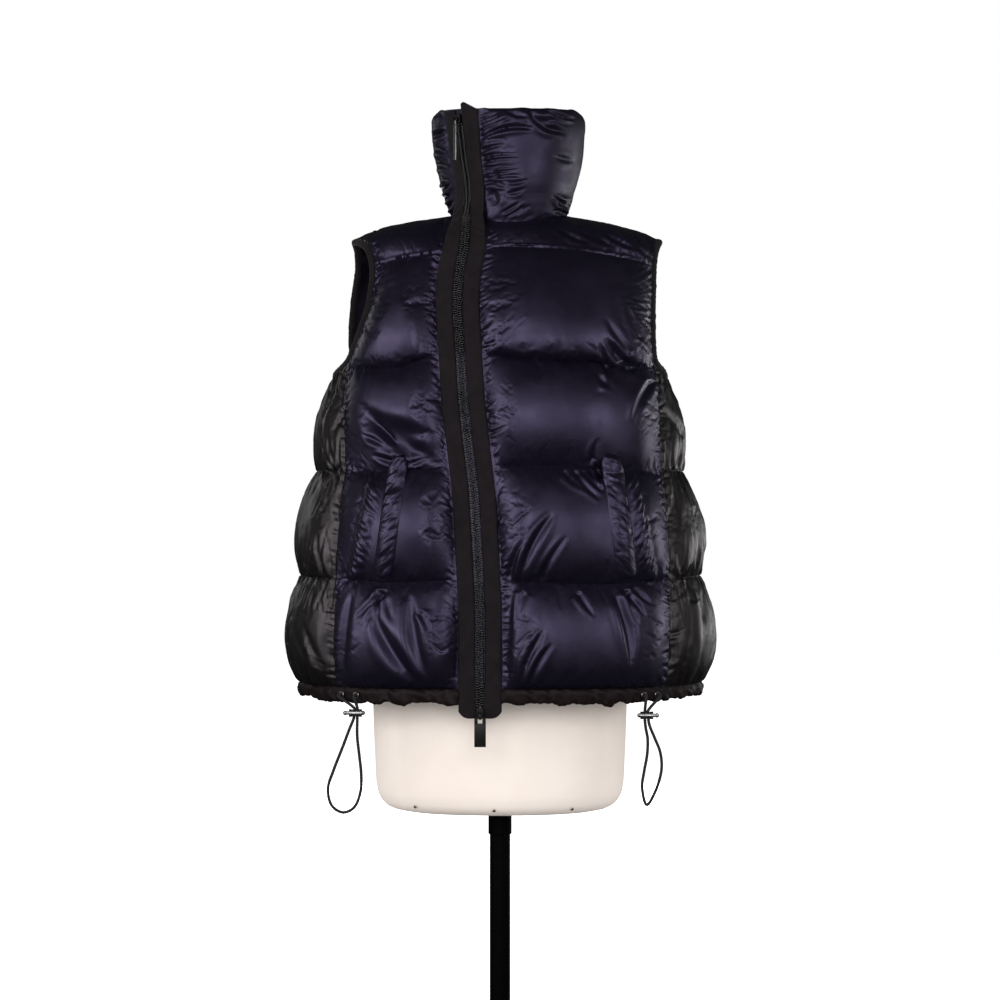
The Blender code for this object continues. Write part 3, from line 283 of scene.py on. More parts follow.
class Nodes:
    """Short hands for a material's node tree."""

    def __init__(self, tree):
        self.t = tree
        self.coord = tree.nodes.new("ShaderNodeTexCoord").outputs["Object"]

    def new(self, kind, **values):
        n = self.t.nodes.new(kind)
        for key, value in values.items():
            if key in n.inputs:
                n.inputs[key].default_value = value
            else:
                setattr(n, key, value)
        return n

    def link(self, a, b):
        self.t.links.new(a, b)

    def mapping(self, scale, rotation=(0, 0, 0), source=None):
        n = self.t.nodes.new("ShaderNodeMapping")
        n.inputs["Scale"].default_value = scale
        n.inputs["Rotation"].default_value = rotation
        self.link(source or self.coord, n.inputs["Vector"])
        return n.outputs["Vector"]

    def noise(self, scale, detail=2.0, rough=0.5, stretch=None, rotation=(0, 0, 0), distortion=0.0):
        n = self.t.nodes.new("ShaderNodeTexNoise")
        n.inputs["Scale"].default_value = scale
        n.inputs["Detail"].default_value = detail
        n.inputs["Roughness"].default_value = rough
        n.inputs["Distortion"].default_value = distortion
        self.link(self.mapping(stretch or (1, 1, 1), rotation), n.inputs["Vector"])
        return n.outputs["Fac"]

    def ramp(self, source, stops):
        n = self.t.nodes.new("ShaderNodeValToRGB")
        while len(n.color_ramp.elements) < len(stops):
            n.color_ramp.elements.new(0.5)
        for e, (at, color) in zip(n.color_ramp.elements, stops):
            e.position = at
            e.color = color if len(color) == 4 else (*color, 1.0)
        self.link(source, n.inputs["Fac"])
        return n.outputs["Color"]

    def span(self, source, low, high, a=0.0, b=1.0):
        n = self.t.nodes.new("ShaderNodeMapRange")
        for key, value in zip(("From Min", "From Max", "To Min", "To Max"), (a, b, low, high)):
            n.inputs[key].default_value = value
        self.link(source, n.inputs["Value"])
        return n.outputs["Result"]

    def math(self, op, a, b=None):
        n = self.t.nodes.new("ShaderNodeMath")
        n.operation = op
        for k, v in enumerate((a, b)):
            if v is None:
                continue
            if isinstance(v, (int, float)):
                n.inputs[k].default_value = v
            else:
                self.link(v, n.inputs[k])
        return n.outputs[0]

    def bump(self, height, strength, distance, before=None):
        n = self.t.nodes.new("ShaderNodeBump")
        n.inputs["Strength"].default_value = strength
        n.inputs["Distance"].default_value = distance
        self.link(height, n.inputs["Height"])
        if before is not None:
            self.link(before, n.inputs["Normal"])
        return n.outputs["Normal"]

    def weave(self, step, source=None):
        """A plain weave's height, threads along Z and round the body."""
        sep = self.t.nodes.new("ShaderNodeSeparateXYZ")
        self.link(source or self.coord, sep.inputs[0])
        k = math.pi / step
        round_the_body = self.math("ADD", sep.outputs[0], self.math("MULTIPLY", sep.outputs[1], 0.77))
        a = self.math("SINE", self.math("MULTIPLY", round_the_body, k))
        b = self.math("SINE", self.math("MULTIPLY", sep.outputs[2], k))
        return self.math("ADD", self.math("ABSOLUTE", a), self.math("ABSOLUTE", b))


def nylon(name, dark, light, roughness, shine, level):
    mat, tree, p = principled(name, light, roughness, Specular_IOR_Level=level, Specular_Tint=(*shine, 1.0))
    n = Nodes(tree)
    tone = n.noise(9.0, 3.0, 0.55)
    n.link(n.ramp(tone, ((0.3, dark), (0.7, light))), p.inputs["Base Color"])
    worn = n.noise(38.0, 3.0, 0.6)
    n.link(n.span(worn, roughness - 0.05, roughness + 0.06, 0.3, 0.7), p.inputs["Roughness"])
    crinkle = n.noise(95.0, 2.5, 0.55, distortion=0.4)
    b = n.bump(crinkle, 0.10, 0.0010)
    cloth = n.weave(0.00042)
    n.link(n.bump(cloth, 0.05, 0.0001, b), p.inputs["Normal"])
    return mat


def grosgrain():
    mat, tree, p = principled("grosgrain", (0.0055, 0.0046, 0.0052), 0.80, Specular_IOR_Level=0.22, Specular_Tint=(1.0, 0.84, 0.96, 1.0), Sheen_Weight=0.03, Sheen_Roughness=0.5)
    n = Nodes(tree)
    tone = n.noise(60.0, 4.0, 0.6)
    n.link(n.ramp(tone, ((0.35, (0.0036, 0.0028, 0.0033)), (0.7, (0.0064, 0.0050, 0.0058)))), p.inputs["Base Color"])
    sep = tree.nodes.new("ShaderNodeSeparateXYZ")
    n.link(n.coord, sep.inputs[0])
    rib = n.math("ABSOLUTE", n.math("SINE", n.math("MULTIPLY", sep.outputs[2], math.pi / 0.0011)))
    b = n.bump(rib, 0.35, 0.0003)
    fuzz = n.noise(900.0, 2.0)
    n.link(n.bump(fuzz, 0.2, 0.0002, b), p.inputs["Normal"])
    return mat


def taffeta(name, dark, light, roughness, level):
    mat, tree, p = principled(name, light, roughness, Specular_IOR_Level=level)
    n = Nodes(tree)
    tone = n.noise(45.0, 4.0, 0.6)
    n.link(n.ramp(tone, ((0.35, dark), (0.68, light))), p.inputs["Base Color"])
    crumple = n.noise(160.0, 3.0, 0.6, distortion=0.5)
    b = n.bump(crumple, 0.35, 0.0008)
    n.link(n.bump(n.weave(0.0005), 0.15, 0.0001, b), p.inputs["Normal"])
    return mat


def metal(name, color, roughness, metallic=1.0, coat=0.0):
    mat, tree, p = principled(name, color, roughness, metallic, Coat_Weight=coat, Coat_Roughness=0.15)
    n = Nodes(tree)
    rub = n.noise(260.0, 3.0, 0.6)
    n.link(n.span(rub, roughness - 0.07, roughness + 0.10, 0.3, 0.7), p.inputs["Roughness"])
    scratch = n.noise(420.0, 2.0, 0.6, stretch=(0.25, 1.0, 1.0))
    n.link(n.bump(scratch, 0.12, 0.0001), p.inputs["Normal"])
    tone = n.noise(120.0, 3.0)
    dark = tuple(c * 0.78 for c in color)
    n.link(n.ramp(tone, ((0.35, dark), (0.65, color))), p.inputs["Base Color"])
    return mat


def braid():
    mat, tree, p = principled("braid", (0.010, 0.011, 0.012), 0.66, Sheen_Weight=0.05, Specular_IOR_Level=0.25)
    n = Nodes(tree)
    wave = n.new("ShaderNodeTexWave", wave_type="BANDS", bands_direction="DIAGONAL", Scale=330.0, Distortion=0.0)
    n.link(n.coord, wave.inputs["Vector"])
    n.link(n.ramp(wave.outputs["Fac"], ((0.2, (0.0045, 0.0050, 0.0055)), (0.8, (0.016, 0.0175, 0.019)))), p.inputs["Base Color"])
    n.link(n.bump(wave.outputs["Fac"], 0.5, 0.0004), p.inputs["Normal"])
    return mat


def linen():
    mat, tree, p = principled("linen", (0.82, 0.73, 0.66), 0.82, Specular_IOR_Level=0.25, Sheen_Weight=0.08)
    n = Nodes(tree)
    tone = n.noise(14.0, 4.0, 0.6)
    n.link(n.ramp(tone, ((0.3, (0.795, 0.705, 0.638)), (0.72, (0.832, 0.750, 0.686)))), p.inputs["Base Color"])
    slub = n.noise(700.0, 2.0, 0.6, stretch=(1.0, 1.0, 0.12))
    b = n.bump(slub, 0.12, 0.0002)
    n.link(n.bump(n.weave(0.0008), 0.18, 0.00015, b), p.inputs["Normal"])
    return mat


def enamel(name, color, roughness, shine=0.35, coat=0.12, uneven=1.0):
    mat, tree, p = principled(name, color, roughness, Specular_IOR_Level=shine, Coat_Weight=coat, Coat_Roughness=0.2)
    n = Nodes(tree)
    dust = n.noise(55.0, 5.0, 0.65)
    n.link(n.span(dust, roughness - 0.06 * uneven, roughness + 0.12 * uneven, 0.35, 0.7), p.inputs["Roughness"])
    n.link(n.ramp(dust, ((0.3, tuple(c * (1 - 0.2 * uneven) for c in color)), (0.8, tuple(c * (1 + 0.4 * uneven) for c in color)))), p.inputs["Base Color"])
    n.link(n.bump(n.noise(900.0, 2.0), 0.05, 0.0001), p.inputs["Normal"])
    return mat


MAT = {
    "nylon": nylon("navy_nylon", (0.0021, 0.0016, 0.0046), (0.0030, 0.0023, 0.0064), 0.40, (0.68, 0.575, 1.0), 0.66),
    "collar": nylon("collar_nylon", (0.0021, 0.0016, 0.0046), (0.0030, 0.0023, 0.0064), 0.46, (0.68, 0.575, 1.0), 0.66),
    # The side panels' nylon is a charcoal copy of the navy nylon. Its greyer colour and shine are partly the cloth's
    # own and partly a painted reflection of the pale surroundings, and its weaker shine is painted shade.
    "side": nylon("black_nylon", (0.0020, 0.0017, 0.0022), (0.0030, 0.0026, 0.0031), 0.40, (1.0, 0.90, 0.96), 0.43),
    "tape": grosgrain(),
    "teeth": enamel("teeth_resin", (0.0019, 0.0018, 0.0019), 0.18, 0.52, 0.12),
    "black": enamel("black_enamel", (0.0026, 0.0024, 0.0024), 0.42, 0.22, 0.03),
    "edge": metal("worn_edge", (0.20, 0.20, 0.205), 0.30),
    "pewter": metal("pewter", (0.36, 0.355, 0.35), 0.30),
    "casing": taffeta("casing_taffeta", (0.0046, 0.0019, 0.0023), (0.0086, 0.0036, 0.0042), 0.56, 0.16),
    "cord": braid(),
    "linen": linen(),
    "tack": metal("tack_brass", (0.42, 0.36, 0.27), 0.42),
    "stand": enamel("stand_enamel", (0.0013, 0.0010, 0.0010), 0.30, 0.08, 0.0, 0.3),
    "thread": taffeta("thread", (0.006, 0.005, 0.010), (0.016, 0.013, 0.026), 0.6, 0.30),
}


# ------------------------------------------------------------------ the vest's surface
def column(t, k):
    return np.interp(t, np.arange(len(LEVELS)), LEVELS[:, k])


def ring(t, phi):
    z0, z1, a, sx, bf, bb, n = (column(t, k) for k in range(7))
    c, s = np.cos(phi), np.sin(phi)
    e = 2.0 / n
    x = sx + a * np.sign(s) * np.abs(s) ** e
    y = -np.where(c > 0, bf, bb) * np.sign(c) * np.abs(c) ** e
    w = c * c
    return np.stack([x, y, z0 * w + z1 * (1 - w)], -1)


def angle_of_x(t, x):
    r = (x - column(t, 3)) / column(t, 2)
    return np.arcsin(np.clip(np.sign(r) * np.abs(r) ** (column(t, 6) / 2), -1, 1))


def zip_x(z):
    return np.interp(z, ZIP_BODY[:, 0], ZIP_BODY[:, 1])


def neckline(psi):
    c, s = np.cos(psi), np.sin(psi)
    y = NECK["y"] - np.where(c > 0, NECK["front"], NECK["back"]) * c
    z_end = np.where(c > 0, NECK["z_front"], NECK["z_back"])
    z = NECK["z_side"] + (z_end - NECK["z_side"]) * c * c
    return np.stack([NECK["x"] + NECK["half_w"] * s, y, z], -1)


def zip_psi(v):
    return np.radians(np.interp(v, ZIP_COLLAR[:, 0], ZIP_COLLAR[:, 1]))


def top_line(side, face):
    sign = -1.0 if side == "left" else 1.0
    if face == "front":
        psi = np.linspace(float(zip_psi(0.0)), sign * math.pi / 2, 40)
    else:
        psi = np.linspace(math.pi, sign * math.pi / 2 + (2 * math.pi if sign < 0 else 0), 40)
    neck = neckline(psi)
    tip = np.array((SHOULDER[side + "_tip"], SHOULDER["y"], SHOULDER["z_tip"]))
    line = neck[-1] + (tip - neck[-1]) * np.linspace(0, 1, 30)[1:, None]
    return np.concatenate([neck, line])


def shoulder_rows(low, high, s):
    near = 1.0 - smooth_step((np.abs(high[..., 0] - NECK["x"]) - 0.07) / 0.06)
    mid = low + (high - low) * np.stack([0.35 + 0.0 * near, 0.16 + 0.12 * near, 0.86 - 0.12 * near], -1)
    return (1 - s) ** 2 * low + 2 * s * (1 - s) * mid + s * s * high


def front_row(side):
    top = top_line(side, "front")

    def row(v):
        t = min(v, 4.0)
        z = float(column(t, 0))
        a_in = float(angle_of_x(t, zip_x(z)))
        if t <= 3.0:
            a_out = np.interp(t, range(4), SIDE_SEAMS[side]["front"])
        else:
            a_out = np.interp(t, ARM_LEVEL, ARM_EDGES[side]["front"])
        low = ring(t, np.linspace(a_in, math.radians(float(a_out)), 161))
        if v <= 4.0:
            return low
        shares = np.linspace(0, 1, 161)
        return shoulder_rows(by_length(low, shares), by_length(top, shares), v - 4.0)

    return row


def back_row(v):
    t = min(v, 4.0)
    ends = []
    for side in ("right", "left"):
        if t <= 3.0:
            ends.append(float(np.interp(t, range(4), SIDE_SEAMS[side]["back"])))
        else:
            ends.append(float(np.interp(t, ARM_LEVEL, ARM_EDGES[side]["back"])))
    low = ring(t, np.radians(np.linspace(ends[0], ends[1] + 360.0, 241)))
    if v <= 4.0:
        return low
    top = np.concatenate([top_line("right", "back")[::-1], top_line("left", "back")[1:]])
    shares = np.linspace(0, 1, 241)
    return shoulder_rows(by_length(low, shares), by_length(top, shares), v - 4.0)


def side_row(side):
    def row(v):
        share = np.linspace(0, 1, 121)
        t = v - max(v - 2.0, 0.0) * ARM_SCOOP * np.sin(np.pi * share) ** 0.7
        a = np.interp(t, range(4), SIDE_SEAMS[side]["front"])
        b = np.interp(t, range(4), SIDE_SEAMS[side]["back"])
        return ring(t, np.radians(a + (b - a) * share))

    return row


ROW = {
    "front_left": front_row("left"), "front_right": front_row("right"), "back": back_row,
    "side_left": side_row("left"), "side_right": side_row("right"),
}
CHANNELS = {"front_left": 5, "front_right": 5, "back": 5, "side_left": 3, "side_right": 3}
OUTWARD = {"front_left": 1, "front_right": -1, "back": -1, "side_left": 1, "side_right": -1}


# where up each channel a front is fullest: under 1 is low in the channel
FRONT_SKEWS = {"front_left": (0.72, 1.02, 1.30, 0.76, 0.80), "front_right": (0.72, 0.93, 1.03, 0.57, 0.80)}


def crown(name, pts, vs, d_in, d_out):
    """Outward and inward crown over the middle surface at each grid point."""
    channel = np.clip(np.floor(vs - 1e-6).astype(int), 0, 4)
    share = np.clip(vs - channel, 0, 1)
    front, side, back, inward, skew = (CROWNS[channel, k][:, None] for k in range(5))
    if name in FRONT_SKEWS:
        skew = np.array(FRONT_SKEWS[name])[channel][:, None]
    flat = 0.64 if name in FRONT_SKEWS else 0.72
    profile = np.sin(np.pi * share[:, None] ** skew) ** np.where(channel == 4, 1.0, flat)[:, None]
    side_ness = np.clip((np.abs(pts[..., 0]) - 0.09) / 0.11, 0, 1) ** 1.5
    middle = np.where(pts[..., 1] < 0, front, back)
    height = middle + (side - middle) * side_ness
    near = 0.35 + 0.65 * smooth_step((np.abs(pts[..., 0] - NECK["x"]) - 0.03) / 0.07)
    if name in FRONT_SKEWS:
        height = np.where(channel[:, None] == 4, height * near * (0.45 if name == "front_left" else 0.30), height)
    on_arm = vs[:, None] > 3.0
    if name.startswith("front"):
        edge_a = smooth_step((d_in - FLANGE) / 0.030) ** 0.7
    elif name == "back":
        edge_a = np.where(on_arm, smooth_step(d_in / 0.035), 0.35 + 0.65 * smooth_step(d_in / 0.04))
    else:
        edge_a = 0.35 + 0.65 * smooth_step(d_in / 0.04)
    edge_b = 0.35 + 0.65 * smooth_step(d_out / 0.04)
    if not name.startswith("side"):
        edge_b = np.where(on_arm, smooth_step(d_out / 0.035), edge_b)
    f = profile * edge_a * edge_b
    return f * height, f * inward


# ------------------------------------------------------------------ panel grids
ROWS = (48, 46, 50, 48, 28)  # grid steps up each channel
COLS = {"front_left": 58, "front_right": 84, "back": 104, "side_left": 58, "side_right": 54}
FLANGE_COLS = 8
SEEDS = {"front_left": 100, "front_right": 300, "back": 500, "side_left": 700, "side_right": 900, "collar": 1100}


def columns_of(name, length):
    """Distances from a panel's inner edge of its grid's columns."""
    n = COLS[name]
    if name.startswith("front"):
        a = np.linspace(GAP / 2, FLANGE, FLANGE_COLS + 1)
        return np.concatenate([a, np.linspace(FLANGE, length - GAP / 2, n + 1)[1:]])
    return np.linspace(GAP / 2, length - GAP / 2, n + 1)


# how far the quilting seams wander: level, then x and rise pairs
SEAM_SHIFTS = {
    "front_left": {
        4: ((-0.190, -0.165, -0.119, -0.060, -0.030), (-0.014, -0.014, -0.009, -0.004, 0.0)),
        3: ((-0.200, -0.185, -0.150, -0.130, -0.092, -0.060), (-0.008, -0.009, -0.0125, -0.0120, -0.002, 0.0)),
        2: ((-0.200, -0.150, -0.110, -0.070), (-0.003, -0.006, -0.001, 0.002)),
        1: ((-0.200, -0.150, -0.120, -0.070), (0.001, -0.004, -0.003, 0.0)),
    },
    "front_right": {
        4: ((-0.02, 0.010, 0.050, 0.100, 0.180), (0.000, 0.006, 0.001, -0.001, -0.006)),
        3: ((-0.02, 0.000, 0.030, 0.090, 0.118, 0.140, 0.190), (-0.001, -0.001, -0.005, -0.008, -0.007, -0.0120, -0.008)),
        2: ((-0.02, 0.080, 0.150, 0.200), (0.003, 0.003, -0.003, -0.006)),
        1: ((-0.02, 0.030, 0.100, 0.150, 0.200), (0.001, -0.001, -0.005, -0.006, -0.001)),
    },
}


def shifted(name, vs, pts):
    """The same grid with its seams moved up or down as the table says."""
    if name not in SEAM_SHIFTS:
        return pts
    dv = np.zeros(pts.shape[:2])
    for level, (xs, rises) in SEAM_SHIFTS[name].items():
        near = np.clip(1 - np.abs(vs - level), 0, 1)[:, None]
        dv += near * np.interp(pts[..., 0], xs, rises) / 0.138
    dv += 0.0045 * noise(pts[..., 0] / 0.022, vs[:, None] * 0.0 + np.round(vs)[:, None] * 3.7, SEEDS[name] + 99) * np.clip(1 - np.abs(vs - np.round(vs)) * 6, 0, 1)[:, None] * ((vs > 0.4) & (vs < 4.6))[:, None]
    out = np.empty_like(pts)
    for j in range(pts.shape[1]):
        for k in range(3):
            out[:, j, k] = np.interp(vs + dv[:, j], vs, pts[:, j, k])
    return out


def base_grid(name, vs):
    pts, d_in, d_out = [], [], []
    for v in vs:
        row = ROW[name](v)
        length = float(np.linalg.norm(np.diff(row, axis=0), axis=1).sum())
        d = columns_of(name, length)
        pts.append(by_length(row, d / length))
        d_in.append(d)
        d_out.append(length - d)
    pts = shifted(name, vs, np.array(pts))
    if not name.startswith("side"):  # the shoulders' tips round down to the bindings
        high = smooth_step((np.asarray(vs) - 4.3) / 0.6)[:, None]
        ends = np.exp(-((np.array(d_out) / 0.011) ** 2))
        if name == "back":
            ends = np.maximum(ends, np.exp(-((np.array(d_in) / 0.011) ** 2)))
        pts[..., 2] -= 0.0045 * high * ends
    nor = grid_normals(pts, OUTWARD[name])
    for i, v in enumerate(vs):
        if v > 4.4:
            k = float(smooth_step((v - 4.4) / 0.6))
            top = unit(np.stack([0.15 * np.sign(pts[i, :, 0]), np.zeros(len(pts[i])), np.ones(len(pts[i]))], -1))
            nor[i] = unit(nor[i] * (1 - k) + top * k)
    return pts, nor, np.array(d_in), np.array(d_out)


def billow(x):
    """Rounded ridges between sharp valleys, about zero on average."""
    return np.abs(x) * 2.2 - 0.75


def puckers(s, d, seed, wave, reach, amp, lean=0.35):
    """Gathers that run away from a seam: s along it, d away from it."""
    fan = lean * noise(s / 0.085, 0.3, seed + 1)
    x = s + fan * d + 0.35 * wave * noise(s / (2.6 * wave), d / 0.05, seed + 2)
    fold = billow(noise(x / wave, d / (reach * 2.4) + 0.5, seed + 3))
    fine = billow(noise(x / (wave * 0.52), d / reach + 0.5, seed + 4))
    some = 0.55 + 0.75 * noise(s / 0.055, 0.7, seed + 5)
    far = reach * (1.0 + 0.55 * noise(s / (wave * 1.7), 0.2, seed + 6))
    return amp * np.clip(some, 0.12, 1.3) * (fold * np.exp(-((d / far) ** 1.3)) + 0.45 * fine * np.exp(-((d / (0.45 * far)) ** 1.2)))


# gathers by the seams: amplitude and reach above and below each seam, 0 at the hem
SEAM_FOLDS = {
    "front_left": ((0.0013, 0.022), (0.0014, 0.026), (0.0013, 0.024), (0.0012, 0.022), (0.0010, 0.016)),
    "front_right": ((0.0014, 0.024), (0.0014, 0.026), (0.0013, 0.026), (0.0012, 0.022), (0.0010, 0.016)),
    "back": ((0.0015, 0.026), (0.0017, 0.032), (0.0016, 0.030), (0.0016, 0.030), (0.0012, 0.022)),
    "side_left": ((0.0016, 0.030), (0.0018, 0.042), (0.0018, 0.042)),
    "side_right": ((0.0016, 0.030), (0.0018, 0.042), (0.0018, 0.042)),
}


def fold_field(name, c, pts, d_in, d_out):
    """Height of the gathers and loose folds of one channel before it is blown up."""
    step = np.linalg.norm(np.diff(pts, axis=0), axis=-1)
    t = np.concatenate([np.zeros((1, pts.shape[1])), np.cumsum(step, axis=0)])
    h = t[-1:]
    s = d_in if name.startswith("front") else (d_in - d_out) / 2
    z = pts[..., 2]
    seed = SEEDS[name] + 20 * c
    amp, reach = SEAM_FOLDS[name][c]
    reach = np.minimum(reach, h * 0.4)
    f = puckers(s, t, seed, 0.021, reach, amp) + puckers(s, h - t, seed + 8, 0.019, reach, amp)
    if name.startswith("front"):
        right = name == "front_right"
        edge = d_in - FLANGE
        strong = ({0: 0.65, 1: 0.7, 2: 0.75, 3: 0.6, 4: 0.6} if right else {0: 0.30, 1: 0.25, 2: 0.30, 3: 0.45, 4: 0.45})[c]
        f += puckers(z + 0.15 * d_in, np.maximum(edge, 0), seed + 13, 0.0125, 0.0075 + 0.0015 * right, 0.0007 * strong, 0.7)
    if c >= 3 and not name.startswith("side"):  # the armhole's edge
        f += puckers(z, d_out, seed + 14, 0.014, 0.026, 0.0016, 0.8)
        if name == "back":
            f += puckers(z, d_in, seed + 15, 0.014, 0.026, 0.0016, 0.8)
    else:
        f += puckers(z, d_out, seed + 14, 0.017, 0.014, 0.0009, 0.8)
        if not name.startswith("front"):
            f += puckers(z, d_in, seed + 15, 0.017, 0.014, 0.0009, 0.8)
    mid = np.sin(np.pi * t / h)
    if name.startswith("side"):
        f += 0.0032 * mid ** 0.6 * billow(noise(s / 0.024 + 0.6 * noise(t / 0.06, s / 0.05, seed + 17), t / 0.16, seed + 16))
    elif name == "back":
        f += 0.0022 * mid * noise(s / 0.050, t / 0.085, seed + 16)
        f += 0.0012 * mid * billow(noise(s / 0.032 + t / 0.06, t / 0.10, seed + 17))
    else:
        f += 0.0011 * mid * noise(s / 0.070, t / 0.070, seed + 16)
    edge = np.minimum(np.minimum(t, h - t), np.minimum(d_out, d_in - (FLANGE if name.startswith("front") else 0.0)))
    return f * smooth_step(edge / 0.006)


def slack_field(name, c, pts, d_in, d_out):
    """Where the cloth is looser than its place: 0 in a channel's middle, 1 by gathered edges."""
    step = np.linalg.norm(np.diff(pts, axis=0), axis=-1)
    t = np.concatenate([np.zeros((1, pts.shape[1])), np.cumsum(step, axis=0)])
    seam = np.minimum(t, t[-1:] - t)
    inner = d_in - (FLANGE if name.startswith("front") else 0.0)
    by_tape = np.exp(-((np.maximum(inner, 0) / 0.0095) ** 2)) * ((0.30 if name == "front_left" and c < 3 else 0.58) if name.startswith("front") else 0.55)
    by_side = (0.5 if name.startswith("front") and c > 2 else 0.75) * np.exp(-((d_out / 0.014) ** 2))
    by_seam = np.exp(-((seam / 0.011) ** 2))
    corner = np.maximum(np.exp(-((np.maximum(inner, 0) / 0.030) ** 2)), np.exp(-((d_out / 0.050) ** 2)))
    by_seam = by_seam * ((0.45 + 0.4 * corner) if name.startswith("front") else 0.85)
    patch = np.clip(0.75 + 0.5 * noise(d_in / 0.07, pts[..., 2] / 0.07, SEEDS[name] + c), 0.3, 1.0)
    return np.clip(np.maximum(np.maximum(by_tape, by_side), by_seam) * patch, 0, 1)


def collar_slack(pts, run, left):
    t = np.linspace(0, 1, pts.shape[0])[:, None]
    a, b = run - FLANGE, left - FLANGE
    by_tape = np.maximum(np.exp(-((np.maximum(a, 0) / 0.050) ** 2)), np.exp(-((np.maximum(b, 0) / 0.060) ** 2)))
    by_seam = 0.7 * np.maximum(np.exp(-((t / 0.16) ** 2)), np.exp(-(((1 - t) / 0.14) ** 2)))
    return np.clip(np.maximum(by_tape, by_seam) + 0.10, 0, 1)


GROW = (0.006, 0.032)  # how much larger the cloth is than its place, mid channel and by its edges


def simulate(jobs, frames, pressure, cap):
    """Blows up each pinned sheet with the cloth simulation; returns the new points."""
    made = []
    for name, p, pin, normal, slack in jobs:
        rows, cols = p.shape[:2]
        quads = grid_quads(rows, cols)
        a, b, c = (p.reshape(-1, 3)[quads[:, k]] for k in range(3))
        facing = (np.cross(b - a, c - a) * normal.reshape(-1, 3)[quads[:, 0]]).sum()
        if facing < 0:
            quads = quads[:, ::-1]
        ob = build("sim_" + name, p.reshape(-1, 3), quads, body=None)
        group = ob.vertex_groups.new(name="pin")
        group.add([int(k) for k in np.nonzero(pin.ravel())[0]], 1.0, "REPLACE")
        loose = ob.vertex_groups.new(name="loose")
        flat_slack = slack.ravel()
        for level in range(1, 11):
            near = np.nonzero(np.round(flat_slack * 10).astype(int) == level)[0]
            if len(near):
                loose.add([int(k) for k in near], level / 10, "REPLACE")
        mod = ob.modifiers.new("cloth", "CLOTH")
        st = mod.settings
        st.vertex_group_shrink = "loose"
        st.shrink_min, st.shrink_max = -GROW[0], -GROW[1]
        st.quality = 5
        st.mass = 0.12
        st.air_damping = 2.0
        st.tension_stiffness = 60
        st.compression_stiffness = 60
        st.shear_stiffness = 18
        st.bending_stiffness = 0.08
        st.tension_damping = st.compression_damping = 8
        st.vertex_group_mass = "pin"
        st.use_pressure = True
        st.uniform_pressure_force = pressure
        st.effector_weights.gravity = 0.0
        mod.collision_settings.use_collision = False
        mod.collision_settings.use_self_collision = False
        mod.point_cache.frame_start, mod.point_cache.frame_end = 1, frames
        made.append(ob)
    for f in range(1, frames + 1):
        SCENE.frame_set(f)
    dg = bpy.context.evaluated_depsgraph_get()
    out = {}
    for (name, p, pin, normal, slack), ob in zip(jobs, made):
        e = ob.evaluated_get(dg)
        me = e.to_mesh()
        co = np.empty(len(me.vertices) * 3, np.float32)
        me.vertices.foreach_get("co", co)
        e.to_mesh_clear()
        move = co.reshape(p.shape).astype(float) - p
        size = np.linalg.norm(move, axis=-1, keepdims=True)
        out[name] = p + move * np.minimum(1.0, cap / np.maximum(size, 1e-9))
        me = ob.data
        bpy.data.objects.remove(ob)
        bpy.data.meshes.remove(me)
    SCENE.frame_set(1)
    return out


# ------------------------------------------------------------------ collar
def collar_point(psi, v):
    cx, a, bf, bb = (np.interp(v, COLLAR[:, 0], COLLAR[:, k]) for k in range(1, 5))
    c, s = np.cos(psi), np.sin(psi)
    low = neckline(psi)[..., 2] + NECK_STEP
    end = np.where(c > 0, COLLAR_TOP["front"], COLLAR_TOP["back"])
    high = COLLAR_TOP["side"] + (end - COLLAR_TOP["side"]) * c * c
    return np.stack(
        [cx + a * s, NECK["y"] - np.where(c > 0, bf, bb) * c, low + (high - low) * v], -1
    )


def collar_normal(psi, v):
    e = 1e-3
    along = collar_point(psi + e, v) - collar_point(psi - e, v)
    up = collar_point(psi, np.minimum(v + e, 1)) - collar_point(psi, np.maximum(v - e, 0))
    return unit(np.cross(along, up))


COLLAR_ROWS, COLLAR_COLS = 48, 152


def collar_grid():
    """Middle points, normals, outer and inner crowns of the collar's grid."""
    vs = np.linspace(0, 1, COLLAR_ROWS + 1)
    known = np.array((0.0, 0.05, 0.16, 0.32, 0.50, 0.68, 0.84, 0.94, 0.985, 1.0))
    level = np.array((0.0, 0.20, 0.62, 0.92, 1.0, 1.0, 0.95, 0.74, 0.36, 0.0))
    whole = 2 * math.pi * COLLAR_R
    a = np.linspace(0, FLANGE / whole, FLANGE_COLS + 1)
    shares = np.concatenate([a, np.linspace(FLANGE / whole, 1 - FLANGE / whole, COLLAR_COLS + 1)[1:-1], (1 - a)[::-1]])
    pts, nor, out, inn = [], [], [], []
    for v in vs:
        start = float(zip_psi(v))
        half = GAP / 2 / 0.08
        psi = start + half + (2 * math.pi - 2 * half) * shares
        pts.append(collar_point(psi, v))
        nor.append(collar_normal(psi, v))
        f = float(np.interp(v, known, level))
        run = whole * np.minimum(shares, 1 - shares)
        edge = smooth_step((run - FLANGE) / 0.03) ** 0.8
        thin = SEAM_HALF * (1.0 - 0.4 * float(smooth_step((v - 0.9) / 0.1)))
        out.append(thin + COLLAR_CROWN["out"] * f * edge)
        inn.append(thin + COLLAR_CROWN["in"] * f * edge)
    run = whole * shares[None, :] + np.zeros((len(vs), 1))
    return np.array(pts), np.array(nor), np.array(out), np.array(inn), run, whole - run


